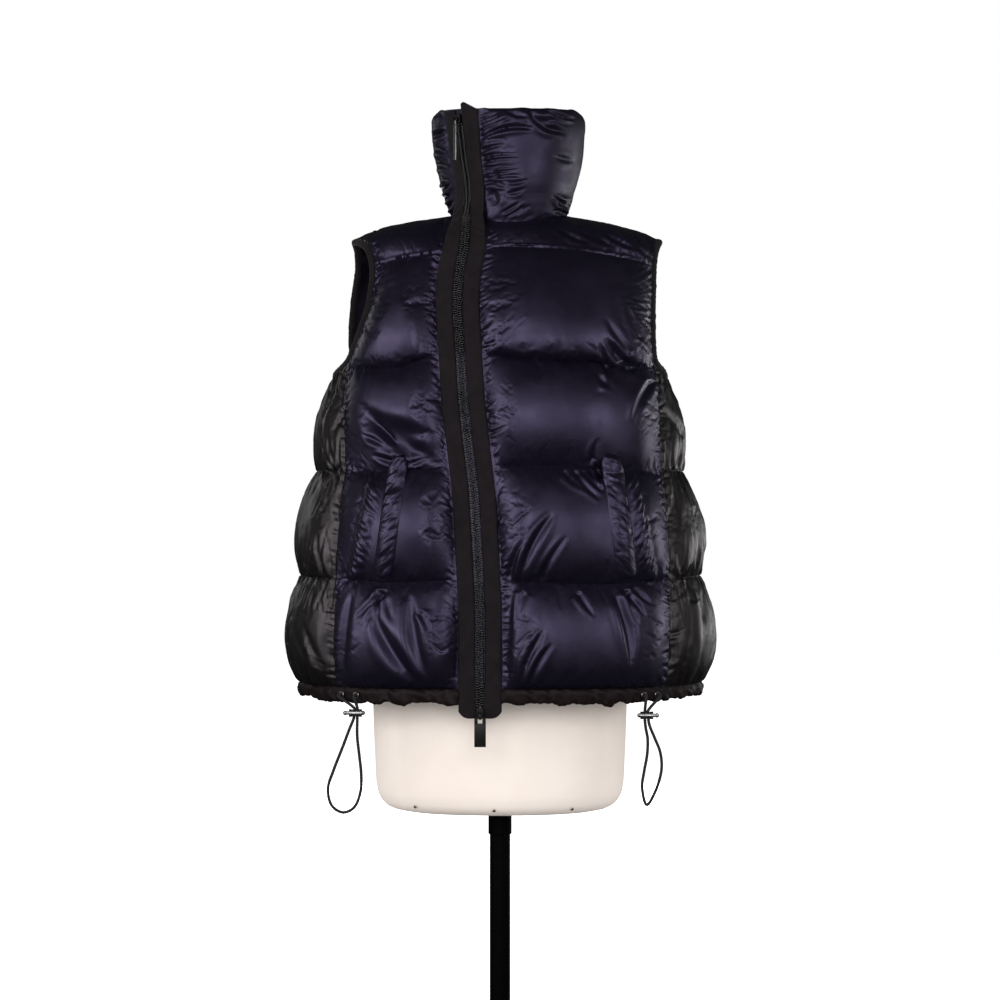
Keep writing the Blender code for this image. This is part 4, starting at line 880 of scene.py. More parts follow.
def collar_folds(pts, run, left):
    """Gathers of the collar: long by the right tape, shorter by the left one."""
    step = np.linalg.norm(np.diff(pts, axis=0), axis=-1)
    t = np.concatenate([np.zeros((1, pts.shape[1])), np.cumsum(step, axis=0)])
    h = t[-1:]
    seed = SEEDS["collar"]
    a, b = run - FLANGE, left - FLANGE
    rise = 0.42 * smooth_step((t / h - 0.55) / 0.45)
    f = puckers(t - rise * a, np.maximum(a, 0), seed, 0.0135, 0.040, 0.0021, 0.25)
    f += puckers(t + 0.25 * b, np.maximum(b, 0), seed + 20, 0.013, 0.026, 0.0018, 0.5)
    f += puckers(run, t, seed + 40, 0.020, np.minimum(0.024, h * 0.4), 0.0016)
    f += puckers(run, h - t, seed + 60, 0.022, np.minimum(0.020, h * 0.4), 0.0015)
    mid = np.sin(np.pi * t / h)
    f += 0.0022 * mid * noise(run / 0.050, t / 0.045, seed + 80)
    edge = np.minimum(np.minimum(t, h - t), np.minimum(a, b))
    return f * smooth_step(edge / 0.005)


# ------------------------------------------------------------------ all padded cloth
grids, jobs = {}, []
for panel_name, count in CHANNELS.items():
    for ch in range(count):
        rows_v = np.linspace(ch, ch + 1, ROWS[ch] + 1)
        if ch == 0:
            rows_v[0] += GAP / 2 / 0.14
        if ch == count - 1:
            rows_v[-1] -= GAP / 2 / (0.10 if count == 5 else 0.14)
        if "vs" not in grids.setdefault(panel_name, {}):
            grids[panel_name]["vs"] = []
        grids[panel_name]["vs"].append(rows_v)
    g = grids[panel_name]
    all_vs = np.concatenate([g["vs"][0]] + [v[1:] for v in g["vs"][1:]])
    g["pts"], g["nor"], g["d_in"], g["d_out"] = base_grid(panel_name, all_vs)
    g["out"], g["inn"] = crown(panel_name, g["pts"], all_vs, g["d_in"], g["d_out"])
    g["all_vs"] = all_vs
    first = 0
    g["slices"] = []
    for ch in range(count):
        sl = slice(first, first + ROWS[ch] + 1)
        first += ROWS[ch]
        g["slices"].append(sl)
        p, n = g["pts"][sl], g["nor"][sl]
        folds = fold_field(panel_name, ch, p, g["d_in"][sl], g["d_out"][sl])
        start_p = p + n * (SEAM_HALF + 0.90 * g["out"][sl] + folds)[..., None]
        pin = np.zeros(p.shape[:2], bool)
        pin[0] = pin[-1] = True
        pin[:, -1] = pin[:, 0] = True
        if panel_name.startswith("front"):
            pin[:, : FLANGE_COLS + 1] = True
        jobs.append((f"{panel_name}_{ch}", start_p, pin, n, slack_field(panel_name, ch, p, g["d_in"][sl], g["d_out"][sl])))

cp, cn, c_out, c_in, c_run, c_left = collar_grid()
c_start = cp + cn * (c_out + collar_folds(cp, c_run, c_left))[..., None]
c_pin = np.zeros(cp.shape[:2], bool)
c_pin[0] = c_pin[-1] = True
c_pin[:, : FLANGE_COLS + 1] = c_pin[:, -FLANGE_COLS - 1:] = True
jobs.append(("collar", c_start, c_pin, cn, collar_slack(cp, c_run, c_left)))

blown = simulate(jobs, 24, 40.0, 0.016)


# ------------------------------------------------------------------ creases
# Main creases of the fronts: start x, z, end x, z, sideways bend,
# half width, depth, ridge beside it, and where it is deepest (0 both, 1 start, 2 end).
CREASES = {
    "front_left": (
        (-0.172, 0.818, -0.092, 0.760, 0.005, 0.0115, 0.0105, 0.0016, 0),
        (-0.138, 0.806, -0.094, 0.788, 0.004, 0.0090, 0.0048, 0.0008, 0),
        (-0.160, 0.805, -0.140, 0.782, 0.000, 0.0035, 0.0030, 0.0015, 0),
        (-0.150, 0.793, -0.132, 0.775, 0.001, 0.0030, 0.0030, 0.0015, 0),
        (-0.172, 0.788, -0.150, 0.776, 0.000, 0.0030, 0.0024, 0.0012, 0),
        (-0.157, 0.762, -0.112, 0.752, 0.002, 0.0035, 0.0034, 0.0020, 0),
        (-0.140, 0.770, -0.118, 0.748, 0.002, 0.0030, 0.0028, 0.0018, 2),
        (-0.110, 0.752, -0.090, 0.758, 0.000, 0.0030, 0.0026, 0.0015, 1),
        (-0.1126, 0.580, -0.0934, 0.488, 0.004, 0.0062, 0.0066, 0.0034, 0),
        (-0.100, 0.566, -0.086, 0.524, -0.003, 0.0035, 0.0028, 0.0018, 1),
        (-0.156, 0.557, -0.1075, 0.481, 0.004, 0.0070, 0.0072, 0.0028, 0),
        (-0.145, 0.590, -0.182, 0.556, 0.001, 0.0032, 0.0034, 0.0022, 1),
        (-0.147, 0.592, -0.170, 0.545, 0.001, 0.0032, 0.0034, 0.0022, 1),
        (-0.150, 0.592, -0.155, 0.548, 0.001, 0.0035, 0.0036, 0.0022, 1),
        (-0.144, 0.592, -0.136, 0.556, 0.001, 0.0035, 0.0030, 0.0016, 1),
        (-0.188, 0.582, -0.198, 0.485, 0.003, 0.0045, 0.0036, 0.0024, 0),
    ),
    "front_right": (
        (0.035, 0.664, 0.010, 0.608, 0.003, 0.0038, 0.0042, 0.0024, 2),
        (0.062, 0.684, 0.026, 0.611, 0.004, 0.0042, 0.0046, 0.0028, 0),
        (0.084, 0.662, 0.051, 0.606, 0.003, 0.0038, 0.0038, 0.0022, 2),
        (0.014, 0.600, 0.009, 0.480, 0.003, 0.0058, 0.0036, 0.0012, 0),
        (0.030, 0.590, 0.020, 0.545, 0.001, 0.0034, 0.0028, 0.0016, 1),
        (0.052, 0.540, 0.028, 0.482, 0.003, 0.0036, 0.0036, 0.0028, 0),
        (0.062, 0.524, 0.036, 0.474, 0.003, 0.0034, 0.0032, 0.0022, 0),
        (0.144, 0.588, 0.164, 0.506, -0.006, 0.0050, 0.0056, 0.0024, 0),
        (0.098, 0.590, 0.118, 0.560, 0.001, 0.0034, 0.0030, 0.0016, 1),
        (0.126, 0.862, 0.138, 0.850, 0.000, 0.0040, 0.0030, 0.0012, 0),
        (0.128, 0.900, 0.138, 0.858, -0.002, 0.0040, 0.0044, 0.0018, 0),
        (0.136, 0.905, 0.176, 0.870, 0.003, 0.0060, 0.0050, 0.0016, 0),
        (0.134, 0.938, 0.168, 0.892, 0.002, 0.0045, 0.0026, 0.0014, 2),
        (0.160, 0.962, 0.182, 0.912, 0.002, 0.0040, 0.0022, 0.0012, 2),
        (0.070, 1.058, 0.112, 1.036, 0.002, 0.0028, 0.0024, 0.0016, 0),
        (0.092, 1.056, 0.138, 1.034, -0.001, 0.0032, 0.0026, 0.0016, 0),
        (0.118, 1.054, 0.150, 1.030, 0.002, 0.0026, 0.0022, 0.0014, 1),
        (0.132, 1.050, 0.176, 1.030, 0.001, 0.0030, 0.0026, 0.0016, 0),
        (0.160, 1.044, 0.192, 1.022, -0.001, 0.0026, 0.0022, 0.0014, 2),
        (0.196, 0.858, 0.168, 0.802, 0.004, 0.0045, 0.0038, 0.0026, 1),
        (0.118, 0.756, 0.142, 0.752, 0.016, 0.0050, 0.0050, 0.0024, 0),
        (0.124, 0.784, 0.118, 0.756, 0.002, 0.0036, 0.0034, 0.0018, 2),
        (0.094, 0.742, 0.126, 0.706, 0.002, 0.0034, 0.0036, 0.0022, 1),
        (0.104, 0.742, 0.130, 0.716, 0.001, 0.0032, 0.0034, 0.0020, 1),
        (0.112, 0.744, 0.130, 0.726, 0.001, 0.0030, 0.0030, 0.0018, 1),
        (0.080, 0.742, 0.110, 0.716, 0.002, 0.0032, 0.0026, 0.0016, 1),
        (0.160, 0.592, 0.186, 0.556, 0.001, 0.0034, 0.0036, 0.0024, 1),
        (0.158, 0.592, 0.174, 0.548, 0.001, 0.0034, 0.0036, 0.0024, 1),
        (0.168, 0.594, 0.196, 0.572, 0.001, 0.0032, 0.0030, 0.0020, 1),
    ),
}


def stroke(height, s, t, row):
    """A crease, worked out only on the part of the grid that it reaches."""
    ax, az, bx, bz, bend, width = row[:6]
    far = 5 * width + abs(bend)
    ss, tt = s.mean(0), t.mean(1)
    i = np.searchsorted(tt, (min(az, bz) - far, max(az, bz) + far))
    j = np.searchsorted(ss, (min(ax, bx) - far, max(ax, bx) + far))
    i0, i1, j0, j1 = max(i[0] - 1, 0), i[1] + 1, max(j[0] - 2, 0), j[1] + 2
    crease(height[i0:i1, j0:j1], s[i0:i1, j0:j1], t[i0:i1, j0:j1], row)


def gathers(height, s, t, seed, edge, step, length, width, depth, lean=0.0, spread=14.0, ends=0.0, share=1.0):
    """Short strokes that start on an edge of the channel and fade away from it."""
    rng = np.random.default_rng(seed)
    whole = float(s[len(s) // 2, -1]) if edge in ("low", "high") else float(t[-1].mean())
    at = rng.uniform(0, step)
    while at < whole:
        size = rng.uniform(0.45, 1.5)
        l, w = length * size, width * rng.uniform(0.75, 1.3)
        d = depth * rng.uniform(0.35, 1.25)
        a = math.radians(lean + rng.normal(0, spread))
        place = at / whole
        closer = max(math.exp(-((place * whole / 0.045) ** 2)), math.exp(-(((1 - place) * whole / 0.045) ** 2)))
        weight = 1.0 - ends + ends * closer
        if rng.random() < share * (0.35 + 0.65 * weight):
            d *= weight
            l *= 0.5 + 0.5 * weight
            bend = rng.normal(0, 0.05) * l
            if edge == "in":
                x0 = float(s[0, 0]) - 0.001
                row = (x0, at, x0 + l * math.cos(a), at + l * math.sin(a))
            elif edge == "out":
                k = min(int(place * (len(s) - 1)), len(s) - 1)
                x0 = float(s[k, -1]) + 0.001
                row = (x0, at, x0 - l * math.cos(a), at + l * math.sin(a))
            elif edge == "low":
                row = (at, -0.001, at + l * math.sin(a), l * math.cos(a))
            else:
                row = (at, float(t[-1].mean()) + 0.001, at + l * math.sin(a), float(t[-1].mean()) - l * math.cos(a))
            stroke(height, s, t, (*row, bend, w, d, 0.5 * d, 1))
        at += step * rng.uniform(0.45, 1.7)


def crease(height, x, z, row):
    ax, az, bx, bz, bend, width, depth, ridge, kind = row
    dx, dz = bx - ax, bz - az
    length = math.hypot(dx, dz)
    q = ((x - ax) * dx + (z - az) * dz) / length ** 2
    qc = np.clip(q, 0, 1)
    e = ((x - ax) * dz - (z - az) * dx) / length - bend * 4 * qc * (1 - qc)
    past = np.maximum(np.abs(q - 0.5) - 0.5, 0) * length
    if kind == 1:
        taper = (1 - qc) ** 0.8 * smooth_step((q + 0.06) / 0.12)
    elif kind == 2:
        taper = qc ** 0.8 * smooth_step((1.06 - q) / 0.12)
    else:
        taper = np.sin(np.pi * np.clip(0.06 + 0.88 * qc, 0, 1)) ** 0.8
    taper = taper * np.exp(-((past / width) ** 2))
    w = width * (0.65 + 0.5 * taper)
    height -= depth * taper * np.exp(-((e / w) ** 2))
    height += ridge * taper * (np.exp(-(((e - 1.9 * w) / (1.2 * w)) ** 2)) + 0.6 * np.exp(-(((e + 1.9 * w) / (1.3 * w)) ** 2)))


# the puckered ridge outside each welt: top x, z, bottom x, z, lean of its strokes
RIDGES = {"front_left": (-0.1570, 0.738, -0.1855, 0.606, 1.0), "front_right": (0.1655, 0.738, 0.1905, 0.603, -1.0)}


def ridge(height, x, z, row, seed):
    """A narrow puffed ridge with short slanting gathers, between two grooves."""
    ax, az, bx, bz, lean = row
    dx, dz = bx - ax, bz - az
    length = math.hypot(dx, dz)
    q = ((x - ax) * dx + (z - az) * dz) / length ** 2
    e = ((x - ax) * dz - (z - az) * dx) / length
    e = e + 0.0016 * noise(q * length / 0.020, 0.3, seed)
    end = smooth_step((q + 0.03) / 0.12) * smooth_step((1.04 - q) / 0.10)
    body = np.exp(-((np.abs(e) / 0.0082) ** 2.2))
    slant = q * length + lean * 0.9 * e
    fold = billow(noise(slant / 0.0120, e / 0.014, seed + 1)) * 0.0014 + billow(noise(slant / 0.0060, e / 0.009, seed + 2)) * 0.0005
    height += end * (0.0042 * body + fold * np.exp(-((np.abs(e) / 0.0105) ** 4)))
    for side_at in (-0.0105, 0.0105):
        height -= end * 0.0009 * np.exp(-(((e - side_at) / 0.0040) ** 2))


def loose_creases(height, s, t, seed, count, length, width, depth):
    """Some creases of uneven length, lean and depth, for a side that isn't charted."""
    rng = np.random.default_rng(seed)
    for _ in range(count):
        x, z = rng.uniform(s.min(), s.max()), rng.uniform(t.min(), t.max())
        a = math.radians(90 + rng.normal(0, 28))
        l = length * rng.uniform(0.5, 1.5)
        w = width * rng.uniform(0.7, 1.4)
        d = depth * rng.uniform(0.4, 1.2)
        crease(height, s, t, (x, z, x + l * math.cos(a), z + l * math.sin(a), rng.uniform(-0.006, 0.006), w, d, 0.55 * d, int(rng.integers(0, 3))))


def rim_triangles(fine, coarse):
    """Joins a loop of fine points to a loop with a quarter as many."""
    m = len(coarse)
    tris = []
    for k in range(m):
        i, j = coarse[k], coarse[(k + 1) % m]
        f = [fine[(4 * k + n) % len(fine)] for n in range(5)]
        tris += [(i, f[0], f[1]), (i, f[1], f[2]), (i, f[2], j), (j, f[2], f[3]), (j, f[3], f[4])]
    return tris


def loop_of(rows, cols, start=0):
    """Indices round a grid's edge."""
    a = np.arange(rows * cols).reshape(rows, cols) + start
    return np.concatenate([a[0, :-1], a[:-1, -1], a[-1, :0:-1], a[:0:-1, 0]])


def padded_piece(name, outer, inner, mat, replaced, seams=()):
    """Closes a fine outer grid with a coarse inner one (every fourth point)."""
    r, c = outer.shape[:2]
    r2, c2 = inner.shape[:2]
    verts = np.concatenate([outer.reshape(-1, 3), inner.reshape(-1, 3)])
    quads = np.concatenate([grid_quads(r, c), grid_quads(r2, c2, r * c)[:, ::-1]])
    tris = rim_triangles(loop_of(r, c), loop_of(r2, c2, r * c))
    ob = build(name, verts, quads, tris, mat, fix=True, sharp=62)
    me = ob.data
    ends = np.empty(len(me.edges) * 2, np.int32)
    me.edges.foreach_get("vertices", ends)
    ends = ends.reshape(-1, 2)
    rows_of = np.where(ends < r * c, ends // c, -1)
    seam_edge = (rows_of[:, 0] == rows_of[:, 1]) & np.isin(rows_of[:, 0], list(seams))
    attr = me.attributes.get("sharp_edge") or me.attributes.new("sharp_edge", "BOOLEAN", "EDGE")
    flags = np.zeros(len(me.edges), bool)
    attr.data.foreach_get("value", flags)
    attr.data.foreach_set("value", flags | seam_edge)
    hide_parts(replaced)
    return ob


fine_panels = {}
for panel_name, count in CHANNELS.items():
    g = grids[panel_name]
    parts, s_all, t_all = [], [], []
    for ch in range(count):
        p = finer(finer(blown[f"{panel_name}_{ch}"], 0), 1)
        parts.append(p if ch == 0 else p[1:])
    outer = np.concatenate(parts)
    nor = grid_normals(outer, OUTWARD[panel_name])
    base = finer(finer(g["pts"], 0), 1)
    d_in, d_out = finer(finer(g["d_in"], 0), 1), finer(finer(g["d_out"], 0), 1)
    height = np.zeros(outer.shape[:2])
    if panel_name in CREASES:
        for row in CREASES[panel_name]:
            crease(height, outer[..., 0], outer[..., 2], row)
        ridge(height, outer[..., 0], outer[..., 2], RIDGES[panel_name], SEEDS[panel_name] + 180)
    else:
        s = (d_in - d_out) / 2
        for ch in range(count):
            n = {"back": 7}.get(panel_name, 5)
            z0, z1 = LEVELS[ch, 0], (LEVELS[ch + 1, 0] if ch < 4 else 1.06)
            zone = np.zeros_like(height)
            keep = slice(sum(ROWS[:ch]) * 2, sum(ROWS[: ch + 1]) * 2 + 1)
            loose_creases(zone[keep], s[keep], outer[keep][..., 2], SEEDS[panel_name] + 60 + ch, n, 0.072, 0.0058, 0.0028)
            height += zone
    # short gathers along the seams, the tape's edge and the armhole
    front = panel_name.startswith("front")
    seed = SEEDS[panel_name] + 200
    skip = FLANGE_COLS * 2 if front else 0
    for ch in range(count):
        i0 = sum(ROWS[:ch]) * 2
        i1 = i0 + ROWS[ch] * 2 + 1
        p = base[i0:i1]
        t = np.concatenate([np.zeros((1, p.shape[1])), np.cumsum(np.linalg.norm(np.diff(p, axis=0), axis=-1), axis=0)])
        zone, s, t = height[i0:i1, skip:], d_in[i0:i1, skip:], t[:, skip:]
        k = seed + 10 * ch
        if front and ch == 4:  # a thin wavy lip just above the seam
            along = s + 0.0 * t
            lip = 0.0028 + 0.0008 * noise(along / 0.020, 0.5, k + 7)
            zone += np.clip(0.0012 + 0.0007 * noise(along / 0.010, 0.2, k + 8) + 0.0011 * noise(along / 0.045, 0.6, k + 9), 0.0, 0.0026) * np.exp(-(((t - lip) / 0.0013) ** 2))
        if front:
            lean = ((30, 30, 22, 12, 14) if panel_name == "front_right" else (34, 34, 34, 36, 28))[ch]
            gathers(zone, s, t, k, "in", 0.0070, 0.0135, 0.0019, (0.0011, 0.0010, 0.0011, 0.0020, 0.0014)[ch] if panel_name == "front_left" else 0.0014, lean, 12)
            gathers(zone, s, t, k + 1, "in", 0.0150, 0.0190, 0.0025, 0.0015, lean, 14, share=0.7 if panel_name == "front_right" or ch > 2 else 0.4)
            gathers(zone, s, t, k + 2, "out", 0.0085, 0.014, 0.0022, 0.0012 if ch < 3 or panel_name == "front_right" else 0.0015, 10, 16)
            gathers(zone, s, t, k + 3, "low", 0.0090, 0.016, 0.0024, 0.0012, 0, 20, 0.85)
            gathers(zone, s, t, k + 4, "high", 0.0090, 0.016, 0.0024, 0.0012, 0, 20, 0.85)
        elif panel_name == "back":
            for e in ("in", "out"):
                gathers(zone, s, t, k + (e == "in"), e, 0.0085, 0.016, 0.0024, 0.0012 if ch < 3 else 0.0016, 10, 16)
            for e in ("low", "high"):
                gathers(zone, s, t, k + 3 + (e == "low"), e, 0.0085, 0.018, 0.0024, 0.0013, 0, 20, 0.45)
        else:
            for n, e in enumerate(("low", "high")):
                gathers(zone, s, t, k + n, e, 0.0065, 0.050, 0.0024, 0.0022, 0, 9, 0.2)
                gathers(zone, s, t, k + 3 + n, e, 0.0060, 0.020, 0.0022, 0.0014, 0, 14, 0.2)
            for n, e in enumerate(("in", "out")):
                gathers(zone, s, t, k + 6 + n, e, 0.0085, 0.012, 0.0022, 0.0010, 10, 20)
    free = np.ones_like(height)
    free[0] = free[-1] = 0
    free[:, 0] = free[:, -1] = 0
    if panel_name.startswith("front"):
        free *= smooth_step((d_in - FLANGE) / 0.004)
    for sl in g["slices"]:
        for k in (sl.start * 2, (sl.stop - 1) * 2):
            free[k] *= 0.3
    outer = outer + nor * (height * free)[..., None]
    inner_p, inner_n = g["pts"][::2, ::2], g["nor"][::2, ::2]
    inn = g["inn"][::2, ::2]
    s_in = g["d_in"][::2, ::2]
    wav = 0.0012 * noise(s_in / 0.03, inner_p[..., 2] / 0.05, SEEDS[panel_name] + 95) * np.clip(inn / 0.004, 0, 1)
    inner = inner_p - inner_n * (SEAM_HALF + inn + wav)[..., None]
    fine_panels[panel_name] = {"outer": outer, "nor": grid_normals(outer, OUTWARD[panel_name]), "d_in": d_in, "d_out": d_out}
    mat, slot_name = ("side", "side_nylon") if panel_name.startswith("side") else ("nylon", "nylon")
    padded_piece("quilted_" + panel_name, outer, inner, MAT[mat], panel_name, [sl.start * 2 for sl in g["slices"][1:]])

c_fine = finer(finer(blown["collar"], 0), 1)
c_nor = grid_normals(c_fine, 1.0)
if (c_nor * finer(finer(cn, 0), 1)).sum() < 0:
    c_nor = -c_nor
# the collar's main folds: the same columns as in the table of the fronts
COLLAR_CREASES = (
    (-0.0255, 1.1935, 0.0060, 1.2070, 0.001, 0.0017, 0.0026, 0.0016, 1),
    (-0.0255, 1.1885, 0.0080, 1.2035, 0.001, 0.0017, 0.0026, 0.0016, 1),
    (-0.0250, 1.1835, 0.0095, 1.1985, 0.001, 0.0018, 0.0028, 0.0016, 1),
    (-0.0245, 1.1785, 0.0110, 1.1925, 0.001, 0.0018, 0.0026, 0.0016, 1),
    (-0.0235, 1.1715, 0.0385, 1.1815, -0.005, 0.0028, 0.0046, 0.0022, 0),
    (0.0080, 1.2050, 0.0330, 1.1960, 0.002, 0.0024, 0.0026, 0.0014, 0),
    (-0.0225, 1.1545, 0.0070, 1.1605, -0.001, 0.0022, 0.0034, 0.0018, 1),
    (-0.0205, 1.1465, 0.0240, 1.1480, -0.001, 0.0018, 0.0022, 0.0014, 1),
    (-0.0205, 1.1400, 0.0260, 1.1420, -0.001, 0.0018, 0.0022, 0.0014, 1),
    (-0.0200, 1.1325, 0.0250, 1.1340, 0.001, 0.0018, 0.0020, 0.0014, 1),
    (-0.0195, 1.1265, 0.0280, 1.1290, 0.001, 0.0019, 0.0022, 0.0014, 1),
    (-0.0185, 1.1190, 0.0260, 1.1215, 0.000, 0.0020, 0.0022, 0.0014, 1),
    (-0.0175, 1.1145, 0.0085, 1.1060, -0.002, 0.0026, 0.0040, 0.0022, 1),
    (-0.0120, 1.1050, -0.0060, 1.0830, 0.000, 0.0060, 0.0050, 0.0008, 0),
    (0.0100, 1.1110, 0.0330, 1.1150, 0.001, 0.0022, 0.0018, 0.0010, 0),
    (0.0110, 1.0985, 0.0300, 1.1040, 0.001, 0.0022, 0.0018, 0.0010, 0),
    (0.0030, 1.0745, 0.0235, 1.0860, 0.001, 0.0020, 0.0030, 0.0020, 0),
    (0.0100, 1.0710, 0.0310, 1.0840, 0.001, 0.0020, 0.0028, 0.0020, 0),
    (0.0180, 1.0700, 0.0360, 1.0830, 0.000, 0.0020, 0.0022, 0.0014, 0),
    (0.0385, 1.2040, 0.0790, 1.1800, 0.006, 0.0042, 0.0062, 0.0030, 0),
    (0.0560, 1.2070, 0.0940, 1.1990, 0.001, 0.0024, 0.0046, 0.0030, 0),
    (0.0500, 1.1960, 0.0700, 1.1930, 0.002, 0.0030, 0.0026, 0.0016, 0),
    (0.0720, 1.1480, 0.0930, 1.1460, 0.001, 0.0032, 0.0020, 0.0008, 0),
    (0.0700, 1.0960, 0.0930, 1.0860, 0.001, 0.0026, 0.0040, 0.0024, 0),
    (0.0740, 1.0880, 0.0960, 1.0960, 0.001, 0.0024, 0.0036, 0.0022, 0),
    (0.0700, 1.0790, 0.0900, 1.0800, -0.001, 0.0026, 0.0036, 0.0020, 0),
    (-0.0900, 1.1830, -0.0720, 1.1850, 0.001, 0.0030, 0.0050, 0.0024, 0),
    (-0.0880, 1.1700, -0.0720, 1.1580, 0.001, 0.0028, 0.0036, 0.0020, 0),
    (-0.0850, 1.1490, -0.0700, 1.1400, 0.001, 0.0026, 0.0034, 0.0020, 0),
    (-0.0830, 1.1300, -0.0680, 1.1210, 0.001, 0.0026, 0.0034, 0.0020, 0),
    (-0.0800, 1.1110, -0.0660, 1.1170, 0.001, 0.0024, 0.0036, 0.0022, 0),
    (-0.0780, 1.0990, -0.0640, 1.1050, 0.001, 0.0022, 0.0036, 0.0022, 0),
    (-0.0750, 1.0870, -0.0620, 1.0940, 0.001, 0.0022, 0.0036, 0.0022, 0),
    (-0.0720, 1.0780, -0.0600, 1.0830, 0.001, 0.0022, 0.0032, 0.0020, 0),
)
c_height = np.zeros(c_fine.shape[:2])
for row in COLLAR_CREASES:
    crease(c_height, c_fine[..., 0], c_fine[..., 2], row)
c_height *= smooth_step((-c_nor[..., 1] - 0.02) / 0.12)
c_back = np.zeros(c_fine.shape[:2])
c_step = np.linalg.norm(np.diff(c_fine, axis=0), axis=-1)
c_t = np.concatenate([np.zeros((1, c_fine.shape[1])), np.cumsum(c_step, axis=0)])
loose_creases(c_back, finer(finer(c_run, 0), 1), c_fine[..., 2], SEEDS["collar"] + 200, 12, 0.034, 0.0028, 0.0010)
gathers(c_back, finer(finer(c_run, 0), 1), c_t, SEEDS["collar"] + 210, "low", 0.0090, 0.026, 0.0026, 0.0011, 0, 16)
gathers(c_back, finer(finer(c_run, 0), 1), c_t, SEEDS["collar"] + 220, "high", 0.0095, 0.020, 0.0022, 0.0015, 0, 18)
c_height += c_back * smooth_step((c_nor[..., 1] + 0.1) / 0.3)
c_edge = np.minimum(finer(finer(c_run, 0), 1), finer(finer(c_left, 0), 1)) - FLANGE
c_height *= smooth_step(c_edge / 0.003)
c_height[0] = c_height[-1] = 0
c_fine = c_fine + c_nor * c_height[..., None]
c_top = np.linspace(0, 1, len(c_fine))[:, None]
c_fine[..., 2] += 0.0022 * smooth_step((c_top - 0.80) / 0.16) * smooth_step(c_edge / 0.012) * noise(finer(finer(c_run, 0), 1) / 0.024, 0.4, 1177)
c_inner = cp[::2, ::2] - cn[::2, ::2] * (c_in[::2, ::2])[..., None]
padded_piece("quilted_collar", c_fine, c_inner, MAT["collar"], "collar")


# ------------------------------------------------------------------ zip
ZIP_ROWS_BODY = np.concatenate([np.linspace(0.0, 3.8, 20), [3.9, 4.0]])
ZIP_ROWS_COLLAR = (0.05, 0.12, 0.20, 0.30, 0.41, 0.52, 0.63, 0.74, 0.86, 0.985)


def zip_line(d):
    """Points and normals along the zip at the sideways distance d, hem to collar top."""
    pts, nor = [], []
    z0 = LEVELS[0, 0] - CASING_H - ZIP_DROP
    for k in range(3):
        z = z0 + (LEVELS[0, 0] - z0) * k / 3
        p = ring(0.0, angle_of_x(0.0, zip_x(z) + d))
        p[2] = z
        pts.append(p)
        nor.append(np.array((0.0, -1.0, 0.0)))
    for v in ZIP_ROWS_BODY:
        z = float(column(v, 0))
        phi = angle_of_x(v, zip_x(z) + d)
        p, e = ring(v, phi), 1e-3
        n = np.cross(ring(v, phi + e) - ring(v, phi - e), ring(min(v + e, 4), phi) - ring(max(v - e, 0), phi))
        pts.append(p)
        nor.append(n / np.linalg.norm(n))
    low, low_n = pts[-1], nor[-1]
    psi0 = float(zip_psi(0.0)) + d / COLLAR_R
    top, top_n = neckline(psi0), collar_normal(psi0, 0.0)
    for s in (0.2, 0.4, 0.6, 0.8):
        pts.append(shoulder_rows(low, top, s))
        nor.append(low_n * (1 - s) + (np.array((0.0, 0.0, 0.9)) + 0.35 * top_n) * s)
    for v in ZIP_ROWS_COLLAR:
        psi = float(zip_psi(v)) + d / COLLAR_R
        pts.append(collar_point(psi, v))
        nor.append(collar_normal(psi, v))
    pts, nor = np.array(pts), np.array(nor)
    first = 3 + len(ZIP_ROWS_BODY) + 3
    for _ in range(2):
        for arr in (pts, nor):
            mid = (arr[:-2] + 2 * arr[1:-1] + arr[2:]) / 4
            arr[first:first + 3] = mid[first - 1:first + 2]
    nor /= np.linalg.norm(nor, axis=1)[:, None]
    lift = 0.0045 * np.exp(-(((np.arange(len(pts)) - (first + 0.2)) / 2.8) ** 2))
    return pts + nor * lift[:, None], nor


def at_index(values, where):
    return np.stack([np.interp(where, np.arange(len(values)), values[:, k]) for k in range(3)], -1)


def eased(a, times=3):
    """Doubles the points of a line on a smooth curve through them."""
    for _ in range(times):
        a = finer(a, 0)
    return a


